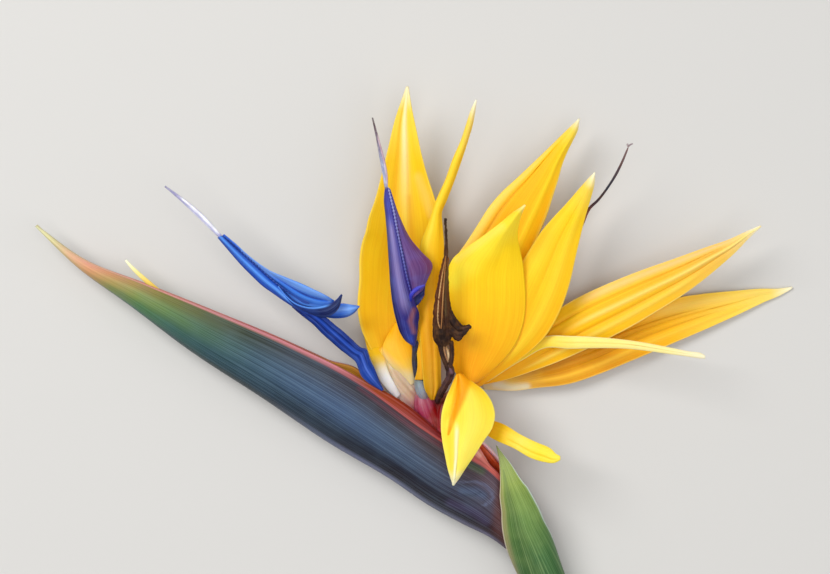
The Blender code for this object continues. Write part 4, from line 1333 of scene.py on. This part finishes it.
# The dried arrow petal: two wings, a barb, two threads, and the strands and knee of its shaft.
ARROW_3 = [Panel(
    name="left",
    left=((-22.2, 65.1, 25), (-23.3, 67.2, 26), (-23.5, 71.3, 27), (-23.2, 76.6, 28), (-22.2, 82.9, 29),
        (-21, 89.1, 30), (-19.9, 93.8, 31), (-19.8, 97.8, 32), (-20, 104.6, 33.4)),
    right=((-19.1, 64.8, 25.5), (-19.4, 67.8, 27), (-19.9, 71.3, 28.2), (-20.1, 76.6, 29.3),
        (-19.9, 82.9, 30.3), (-19.5, 88.5, 31.2), (-18.8, 93.2, 31.6), (-19, 97.8, 32.2),
        (-19.4, 104.6, 33.5)),
    tint={0: "#2A1812", 15: "#2E1A10", 30: "#5A2A10", 60: "#74380E", 70: "#4A2A1A", 100: "#2A1C16"},
    lines=(Line((0.8, 0.8), (0, 0.7), 0.3, 0.3, "#40200E", 0.6),), bulge=0.7, wall=0.6, steps=(140, 28),
    crumple=0.7,
), Panel(
    name="right",
    left=((-19.4, 64.8, 25.3), (-19.7, 67.8, 26.8), (-19.9, 71.3, 28), (-20.1, 76.6, 29.2),
        (-19.9, 82.9, 30.2), (-19.5, 88.5, 31), (-19, 92.5, 31.4)),
    right=((-17.8, 66, 25), (-17.3, 71.3, 26), (-17.8, 76, 27), (-18.4, 80.7, 28.2), (-18.7, 85.4, 29.4),
        (-18.7, 89.1, 30.4), (-18.5, 92.5, 31.3)),
    tint={0: "#2C1812", 30: "#3A1C10", 60: "#5A3014", 80: "#7A5A30", 100: "#8A5020"},
    lines=(Line((0.6, 0.6), (0.3, 0.95), 0.3, -0.3, "#8A7C50", 0.6),), bulge=0.4, wall=0.6, steps=(120, 24),
    crumple=0.6,
), Panel(
    name="barb",
    left=((-19, 79.5, 27.6), (-18, 77, 27.4), (-16.3, 73.5, 27.2), (-14.1, 71.3, 27), (-12.2, 71.3, 27),
        (-11.6, 70.6, 27)),
    right=((-19.8, 72, 26.8), (-18.8, 69, 26.6), (-17.2, 67.3, 26.4), (-15.6, 66.4, 26.6),
        (-13.6, 68.1, 26.8), (-11.6, 70.2, 27)),
    tint={0: "#3A1E10", 40: "#2C1812", 100: "#36201E"},
    lines=(Line((-0.2, 0.1), (0.2, 1), 0.2, -0.6, "#1C100E", 0.7),), bulge=0.8, wall=0.7, steps=(80, 40),
    crumple=0.9,
), Tube(
    name="left_thread",
    rows=((-19.5, 93, 31.9, 0.2), (-20.6, 86.9, 31.2, 0.22), (-21.4, 81.6, 30.3, 0.24),
        (-21.9, 76, 29.4, 0.24), (-21.9, 72.3, 28.8, 0.22), (-21.2, 70, 28.3, 0.2)),
    tint={0: "#A86A30", 30: "#D8A468", 80: "#E4B880", 100: "#C89058"}, beads=(0.12, 21), steps=(160, 10),
), Tube(
    name="right_thread",
    rows=((-19.5, 93, 31.9, 0.18), (-19.9, 86.9, 31.6, 0.2), (-20.3, 81.6, 31, 0.22),
        (-20.6, 76, 30.2, 0.22), (-20.8, 72.3, 29.4, 0.2), (-21, 70, 28.6, 0.18)),
    tint={0: "#A86A30", 50: "#C08C54", 100: "#B87C48"}, steps=(160, 10),
), Tube(
    name="left_strand",
    rows=((-21.3, 65.8, 25, 0.8), (-20.8, 62.8, 24.5, 0.75), (-20, 60.2, 24, 0.7), (-19, 58, 23.3, 0.8),
        (-18.2, 56.1, 22.4, 0.8)),
    tint={0: "#2E1A12", 100: "#3A241E"}, crumple=0.3, steps=(70, 16),
), Tube(
    name="right_strand",
    rows=((-17.8, 66.5, 25, 0.7), (-17.5, 63.4, 24.5, 0.7), (-17.6, 60.2, 24, 0.7), (-18.2, 57.7, 23.3, 0.8),
        (-18.4, 55.8, 22.4, 0.8)),
    tint={0: "#2E1A12", 100: "#3A241E"}, crumple=0.3, steps=(70, 16),
), Tube(
    # A pale golden strand between the dark ones: a painted highlight along the twisted shaft.
    name="painted_highlight_strand",
    rows=((-19.9, 65.5, 24.6, 0.35), (-18.9, 63.5, 24.4, 0.4), (-18.6, 60.8, 24, 0.35),
        (-19.3, 58.8, 23.4, 0.3)),
    tint={0: "#B07038", 50: "#E8C898", 100: "#9A6A50"}, steps=(60, 12),
), Tube(
    name="pale_strand",
    rows=((-20.2, 64.8, 24.7, 0.3), (-19.8, 62.8, 24.5, 0.32), (-19.2, 60.6, 24, 0.3),
        (-18.7, 58.9, 23.4, 0.25)),
    tint={0: "#C89868", 100: "#8A5A48"}, steps=(60, 12),
), Tube(
    name="knee",
    rows=((-18.8, 59.4, 23.3, 0.9), (-18, 57, 22.6, 1.35), (-18.2, 54.8, 21.8, 1.3),
        (-19.5, 52.2, 20.6, 1.1), (-20.9, 49.6, 19.2, 1.1), (-21.8, 47.6, 17, 0.9),
        (-22.2, 46.2, 12.5, 0.7)),
    tint={0: "#3A2624", 30: "#4A3238", 60: "#3A2420", 100: "#6A4650"},
    # The mauve stroke on the knee is a painted sheen.
    strokes=(Stroke("#8A6A80", ((-18.4, 58.2, 0.6), (-17.6, 56.2, 0.8)), 0.8),), crumple=0.5, ribs=(0.08, 6),
    steps=(90, 24),
)]

# Floret 4. The sepal that hangs over the spathe.
SEPAL_4A = [Panel(
    left=((-14.2, 55.8, 24), (-11, 53.3, 25), (-7.4, 50.5, 25.5), (-4.9, 46.8, 25.6), (-4, 43, 25.6),
        (-4.9, 38.9, 25.6), (-7.5, 34.9, 25.6), (-10.6, 30.1, 25.4), (-13.4, 26, 25.2), (-15.9, 22.2, 25),
        (-17, 20.8, 25)),
    right=((-16.2, 55.5, 24), (-18, 51.4, 25), (-19.6, 47.8, 26.5), (-20.7, 44, 27), (-21, 39.9, 26.5),
        (-20.6, 35.2, 26), (-19.7, 30.4, 25.5), (-18.7, 25.7, 25.2), (-17.6, 22.2, 25), (-17.2, 21, 25)),
    tint={0: "#F7A904", 12: "#FCC010", 30: "#FFDE30", 60: "#FFE64C", 85: "#FFEA60", 100: "#FFFAE0"},
    # The pale lines along the raised ridges are painted highlights, the bright one on the ridge beside the
    # valley most of all, and the darker yellow in the shallow groove is painted shade.
    lines=(Line((-0.2, -0.72), (-0.1, 0.5), 0.16, -1.1),
        Line((-0.42, -0.05), (0.42, 1.1), 0.07, 0.6, "#FFFBD0", 0.85),
        Line((-0.75, -0.5), (0.45, 0.95), 0.2, -0.1, "#FFD21A", 0.5),
        Line((0.2, 0.1), (0.1, 0.8), 0.4, 0.3, "#FFEE66", 0.5)),
    # The dark orange stroke down the valley beside the ridge is a painted shadow.
    strokes=(
        Stroke("#F09C02", ((-13.2, 55.6, 3.4), (-15, 48.6, 2.6), (-17.6, 40.8, 1.3), (-18.6, 37, 0.5)), 1,
            0.7),),
    rim=("#FFEE70", 0.1, 0.6), bulge=1.3, steps=(140, 60),
)]
# A narrow sepal behind it.
SEPAL_4B = [sepal(
    ((-8, 39.5, 18.5, 2, 2), (-3, 37.5, 20, 2.8, 2.8), (3, 34.5, 22, 2.4, 2.4), (9, 31.5, 24, 2.6, 2.6),
        (12, 30.5, 25, 2.4, 2.4), (14.5, 29.5, 25.8, 1.6, 1.6), (16.5, 29.5, 26.3, 0.6, 0.6)),
    curl=(-25, -25), tint={0: "#F2A806", 25: "#FDC80A", 50: "#FFE45A", 75: "#FFE23A", 100: "#FAE450"},
    # The darker yellow in its groove is painted shade.
    lines=(Line((-0.3, -0.3), (0.3, 1), 0.15, -0.3, "#F4C21C", 0.6),), steps=(80, 30),
)]
# The foot.
FLORET_4_BASE = [Tube(
    rows=((-10.5, 20, 11, 1.6), (-11.5, 26.5, 13, 2.4), (-12.6, 32.5, 15.5, 3), (-12.8, 41, 18.5, 3.2),
        (-12.5, 47, 20, 2.8), (-11.5, 51, 20, 1.6)),
    tint={0: "#B02018", 50: "#D04858", 100: "#E0A040"}, steps=(80, 40),
)]

# The spathe's colours from foot to tip: the keel, low, middle, high, near the lip, the lip.
SPATHE_KEEL = {0: "#3A2A34", 5: "#6A6480", 15: "#62667E", 30: "#6C7090", 40: "#5C6680", 50: "#34404A",
    60: "#304448", 70: "#3C5654", 78: "#50765F", 84: "#869066", 88: "#CCA47C", 93: "#E6D094", 100: "#F8F4BC"}
SPATHE_LOW = {0: "#3A2426", 10: "#2C2630", 25: "#221F2A", 40: "#262E3C", 50: "#2C4050", 62: "#34525A",
    70: "#40665A", 77: "#568250", 83: "#8E9652", 88: "#DCA46E", 92: "#ECC490", 96: "#F0E4A0", 100: "#F8F4BC"}
SPATHE_MIDDLE = {0: "#3E2A2C", 6: "#4A4252", 13: "#3A3A4C", 19: "#424E64", 26: "#465872", 37: "#42597A",
    47: "#3E5672", 55: "#3A5666", 65: "#46684E", 72: "#608048", 78: "#84964C", 84: "#BC9E58", 88: "#E4A272",
    92: "#F2BE96", 96: "#F0E4A4", 100: "#F8F4BC"}
SPATHE_HIGH = {0: "#5A3A3E", 5: "#66535F", 10: "#604E58", 20: "#483E42", 30: "#3A3238", 40: "#40404A",
    50: "#40464E", 58: "#40483C", 66: "#606640", 74: "#868648", 80: "#BC9C5C", 85: "#E2A072", 89: "#F6AE92",
    93: "#F2C69A", 96: "#F2E6A6", 100: "#F8F4BC"}
SPATHE_EDGE = {0: "#B0505A", 10: "#D06058", 22: "#C25A54", 33: "#B85A56", 42: "#A86A70", 60: "#9C7A68",
    70: "#AC8A68", 78: "#C89C76", 88: "#F2B494", 95: "#EEDDA8", 100: "#F6F2C0"}
SPATHE_LIP = {0: "#B0505A", 10: "#D8685C", 17: "#B8342C", 21: "#7A0E06", 26: "#8A2006", 31: "#963404",
    36: "#A85028", 42: "#E08A94", 60: "#E8989C", 78: "#EC9E90", 88: "#F2BC98", 95: "#EEDDA8", 100: "#F6F2C0"}

# The spathe itself.
SPATHE = [Trough(
    rows=((1.5, -2, 12.5, 3, 5, 2), (-4.5, 2.5, 4.5, 14.5, 6, 4.4), (-13.5, 7, -3.5, 25, 8.4, 6.2),
        (-24.5, 13, -14.5, 32, 9.4, 7.2), (-37, 21.5, -26.5, 40, 9.9, 7.8),
        (-56.5, 33, -45.5, 53.5, 9.95, 7), (-78, 47.5, -68.5, 65, 9.4, 5.5),
        (-101, 62.5, -93.5, 75.5, 7.6, 4), (-121, 77.5, -116, 84.5, 5.2, 2.8),
        (-137.5, 89.5, -135, 92, 2.6, 1.6), (-151, 102.5, -150.5, 103, 0.8, 0.5)),
    tint={0: "#981410", 20: "#B82810", 34: "#D0681A", 40: "#E8A83C", 48: "#C87848", 60: "#C86038",
        85: "#E0A070", 100: "#F0E0A0"},
    bands=((0, SPATHE_KEEL), (0.17, SPATHE_KEEL), (0.25, SPATHE_LOW), (0.35, SPATHE_LOW),
        (0.6, SPATHE_MIDDLE), (0.86, SPATHE_HIGH), (0.917, SPATHE_HIGH), (0.938, SPATHE_EDGE),
        (0.958, SPATHE_LIP), (1, SPATHE_LIP)),
    far_lip=((0.06, 0.26, 0.05), (0.18, 0.38, 0.045), (0.34, 0.44, 0.075)),
    # Near the foot, the lilac-grey arc (#564E70) and the lilac-blue ring (#6C7494) are a painted sheen; the
    # ring's core (#2A3040) is painted darker.
    strokes=(Stroke("#564E70", ((-18, 14.5, 2.4), (-10, 11.5, 3), (-6.5, 8.5, 2.5)), 0.5),
        Stroke("#4A5876", ((-14, 18.6, 2.4), (-9.5, 18.3, 3), (-7.5, 17.3, 2.8)), 0.75),
        Stroke("#6C7494",
            ((-14.4, 21.4, 0.5), (-9.6, 21.4, 0.8), (-6.6, 20.3, 0.9), (-4.8, 18.2, 0.9), (-4.4, 16.3, 0.9),
                (-6.1, 14.4, 0.8), (-7.7, 13.6, 0.5)), 0.6),
        Stroke("#2A3040", ((-13.6, 17.4, 0.7), (-10.8, 17, 0.9), (-8.6, 18, 0.6)), 0.5),
        Stroke("#5E3026", ((3, 1, 5), (-2, 6, 4.2), (-2.4, 12, 3.4), (-1.4, 21, 2.2)), 0.85),
        Stroke("#56703E", ((-12.5, 27.2, 1.8), (-8, 24.8, 2)), 0.6),
        Stroke("#F08E80", ((-13, 32.4, 2), (-8, 30.2, 2.8), (-2.8, 24.9, 1.9)), 0.95),
        Stroke("#F8C4B0", ((-11, 32.6, 0.9), (-8.6, 29.8, 1.1)), 0.75),
        Stroke("#C83444", ((-5.2, 27, 0.8), (-2.2, 24, 1.3)), 0.7),
        Stroke("#703C48", ((-15, 29.2, 1.2), (-28, 37.2, 1.5), (-47, 51.2, 0.8)), 0.6)),
    inner_strokes=(Stroke("#E08A70", ((-2, 23.5, 0.8), (-27, 39.5, 0.8), (-117, 84.6, 0.8)), 0.8),),
    near_lip=((0.1, 0.2, 0.18), (0.17, 0.38, 0.08)), wall=1, wall_side=Wall.INWARD, edge_wall=0.6,
    steps=(220, 96),
)]
# The coral-edged bract in its mouth.
INNER_BRACT = [Panel(
    left=((-0.5, 21, 8.6), (-3.4, 24.6, 9), (-6.4, 28.6, 9.6), (-9.6, 32.8, 10.4)),
    right=((2, 22.5, 9.2), (-1.4, 27.4, 9.8), (-5, 31.5, 10.4), (-9.2, 35.2, 11)),
    tint={0: "#D04A1C", 60: "#E05A24", 100: "#E46A38"},
    lines=(Line((-0.85, -0.8), (-0.1, 1.1), 0.34, 0.3, "#FBD0E2", 1),
        Line((-0.28, -0.25), (-0.1, 1.1), 0.2, -0.5, "#74100C", 0.9)),
    bulge=0.5, steps=(60, 32),
)]
# The tip of the next bud.
BUD_TIP = [Blade(
    rows=((-109, 79.5, 9.5, 0.8, 0.8), (-113.3, 83.4, 10, 0.8, 0.8), (-116.5, 86.2, 10, 0.72, 0.72),
        (-119.4, 88.9, 10, 0.6, 0.6), (-122, 91.8, 10, 0.35, 0.35)),
    tint={0: "#E8B438", 45: "#F0D468", 70: "#F6EA98", 100: "#FFFAE0"}, steps=(50, 12),
)]

# The stem, cut plainly at its far end.
STEM = [Tube(
    rows=((6.8, 2.5, 10, 2.8), (7.6, 0.5, 9.9, 2.9), (9.2, -4, 9.5, 4), (11.2, -9, 9, 5),
        (17.2, -23, 7.8, 5.2), (37, -72.5, 6, 5.2), (59, -131, 5.2, 5.2)),
    tint={0: "#4E6E3C", 50: "#4A6A34", 100: "#56763C"}, ribs=(0.012, 12), ends=(End.ROUNDED, End.CUT),
    steps=(160, 48),
)]
# The sheath round it, with pale margins.
STEM_SHEATH = [Wrap(
    rows=((30.5, -56.5, 6.4, 6.4, 155, 155), (22.5, -36, 7.2, 6.4, 145, 148),
        (15.5, -18.5, 8.1, 6.5, 125, 132), (10.7, -7, 8.9, 7, 98, 104), (7.6, 0.8, 9.4, 7.8, 72, 74),
        (5.5, 6, 9.4, 8.8, 50, 54), (3.8, 12, 8.6, 10.1, 32, 37), (1.5, 18.5, 7.8, 11, 20, 26),
        (-1, 27, 8.3, 10, 9, 13), (-3.5, 33.5, 9, 8, 1, 1)),
    tint={0: "#3C6032", 35: "#3E6638", 50: "#426C3E", 60: "#487440", 72: "#668A44", 86: "#92A650",
        100: "#98A468"},
    lines=(Line((0.84, 0.8), (0.25, 1), 0.16, 0, "#B89C74", 0.55, 0.25),
        Line((0.97, 0.97), (0.2, 1.1), 0.04, 0, "#E0C4BC", 0.9),
        Line((-0.97, -0.97), (0.2, 1.1), 0.05, 0, "#D4E4E0", 0.9)),
    strokes=(
        Stroke("#34502C",
            ((-1, 25, 0.3), (1, 14, 2.4), (4.2, 2, 4.5), (8.5, -9, 6), (15, -25, 6), (28, -56, 6)), 0.5),),
    steps=(180, 60), wall=0.7,
)]
# The spent style of the oldest floret, with its hooked end.
STYLE_4 = [Tube(
    rows=((-5, 59, 11, 0.6), (-2, 64.5, 11.7, 0.6), (17, 91, 15, 0.6), (24, 103, 16.6, 0.5),
        (26.2, 108, 17.2, 0.5), (29, 110.8, 18, 0.42), (32.3, 115.3, 20, 0.38), (34.5, 119, 21.3, 0.42),
        (36.4, 123, 22.3, 0.36), (38.2, 127.5, 23, 0.28)),
    tint={0: "#3A2018", 60: "#5A3A34", 68: "#A05E4C", 73: "#5A4048", 82: "#343C4C", 92: "#5C464C",
        100: "#8A6E70"},
    steps=(160, 12),
), Tube(
    name="hook",
    rows=((37.8, 128.5, 23.3, 0.3), (38.1, 127.6, 23.1, 0.3), (38.8, 128.1, 23.2, 0.24),
        (39.6, 128.4, 23.3, 0.2)),
    tint={0: "#D8CACA", 40: "#A08C90", 100: "#B8A8AC"}, steps=(40, 12),
)]


@dataclass(frozen=True)
class Lamp:
    """A soft round lamp that faces the flower: its place and width in metres, its power in watts."""

    name: str
    place: tuple[float, float, float]
    width: float
    power: float

    def build(self) -> None:
        """Hangs the lamp."""
        deselect()
        bpy.ops.object.light_add(type="AREA", location=self.place)
        lamp = bpy.context.object
        lamp.name = self.name
        lamp.data.shape = "DISK"
        lamp.data.size = self.width
        lamp.data.energy = self.power
        lamp.rotation_mode = "QUATERNION"
        lamp.rotation_quaternion = (-lamp.location).to_track_quat("-Z", "Y")


@dataclass
class Studio:
    """The plain floor, the soft lights and the camera that looks straight down; metres and millimetres."""

    floor_size: float = 8.0
    floor_colour: str = "#D0CECA"
    floor_roughness: float = 0.8
    floor_specular: float = 0.2
    lamps: tuple[Lamp, ...] = (
        Lamp("key", (-0.7, 0.6, 1.0), 0.7, 11.5),
        Lamp("fill", (0.9, -0.3, 0.8), 1.0, 3.5),
        Lamp("top", (0.1, -0.1, 1.6), 1.2, 9.0))
    sky_colour: str = "#F2F4F8"
    sky_strength: float = 0.33
    camera_place: tuple[float, float, float] = (-0.00042, 0.0762, 0.75)
    lens_mm: float = 100.0
    sensor_mm: float = 36.0
    clip: tuple[float, float] = (0.01, 50.0)

    def build(self) -> None:
        """Sets out the studio."""
        self.floor()
        for lamp in self.lamps:
            lamp.build()
        self.sky()
        self.camera()

    def floor(self) -> None:
        """Lays the floor."""
        deselect()
        bpy.ops.mesh.primitive_plane_add(size=self.floor_size)
        floor = bpy.context.object
        floor.name = "floor"
        material, _, _ = new_material("matt_pale_floor", {
            "Base Color": linear(self.floor_colour), "Roughness": self.floor_roughness,
            "Specular IOR Level": self.floor_specular})
        floor.data.materials.append(material)

    def sky(self) -> None:
        """Lights the scene evenly from all round."""
        world = bpy.data.worlds.new("soft_daylight")
        world.use_nodes = True
        background = world.node_tree.nodes["Background"]
        background.inputs["Color"].default_value = linear(self.sky_colour)
        background.inputs["Strength"].default_value = self.sky_strength
        bpy.context.scene.world = world

    def camera(self) -> None:
        """Places the camera, which looks straight down as it is made."""
        camera = bpy.data.cameras.new("camera")
        camera.lens = self.lens_mm
        camera.sensor_width = self.sensor_mm
        camera.clip_start, camera.clip_end = self.clip
        holder = bpy.data.objects.new("camera", camera)
        holder.location = self.camera_place
        bpy.context.scene.collection.objects.link(holder)
        bpy.context.scene.camera = holder
        bpy.context.scene.view_settings.view_transform = "Standard"


def main() -> None:
    """Builds the flower around its frame."""
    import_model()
    finishes = Finishes()
    for assembly in (
        Beak(SPATHE, INNER_BRACT, BUD_TIP),
        Stalk(STEM, STEM_SHEATH, STYLE_4),
        Floret(1, [SEPAL_1A, SEPAL_1B, SEPAL_1C], FLORET_1_BASE, NECTARY_1, ARROW_1, Role.BLUE_ARROW,
               STIGMA_1),
        Floret(2, [SEPAL_2A, SEPAL_2B, SEPAL_2C], FLORET_2_BASE, [], ARROW_2, Role.PURPLE_ARROW, STIGMA_2),
        Floret(3, [SEPAL_3A, SEPAL_3B, SEPAL_3C], FLORET_3_BASE, [], ARROW_3, Role.BROWN_ARROW),
        Floret(4, [SEPAL_4A, SEPAL_4B], FLORET_4_BASE),
    ):
        assembly.build(finishes)
    Studio().build()


if __name__ == "__main__":
    main()
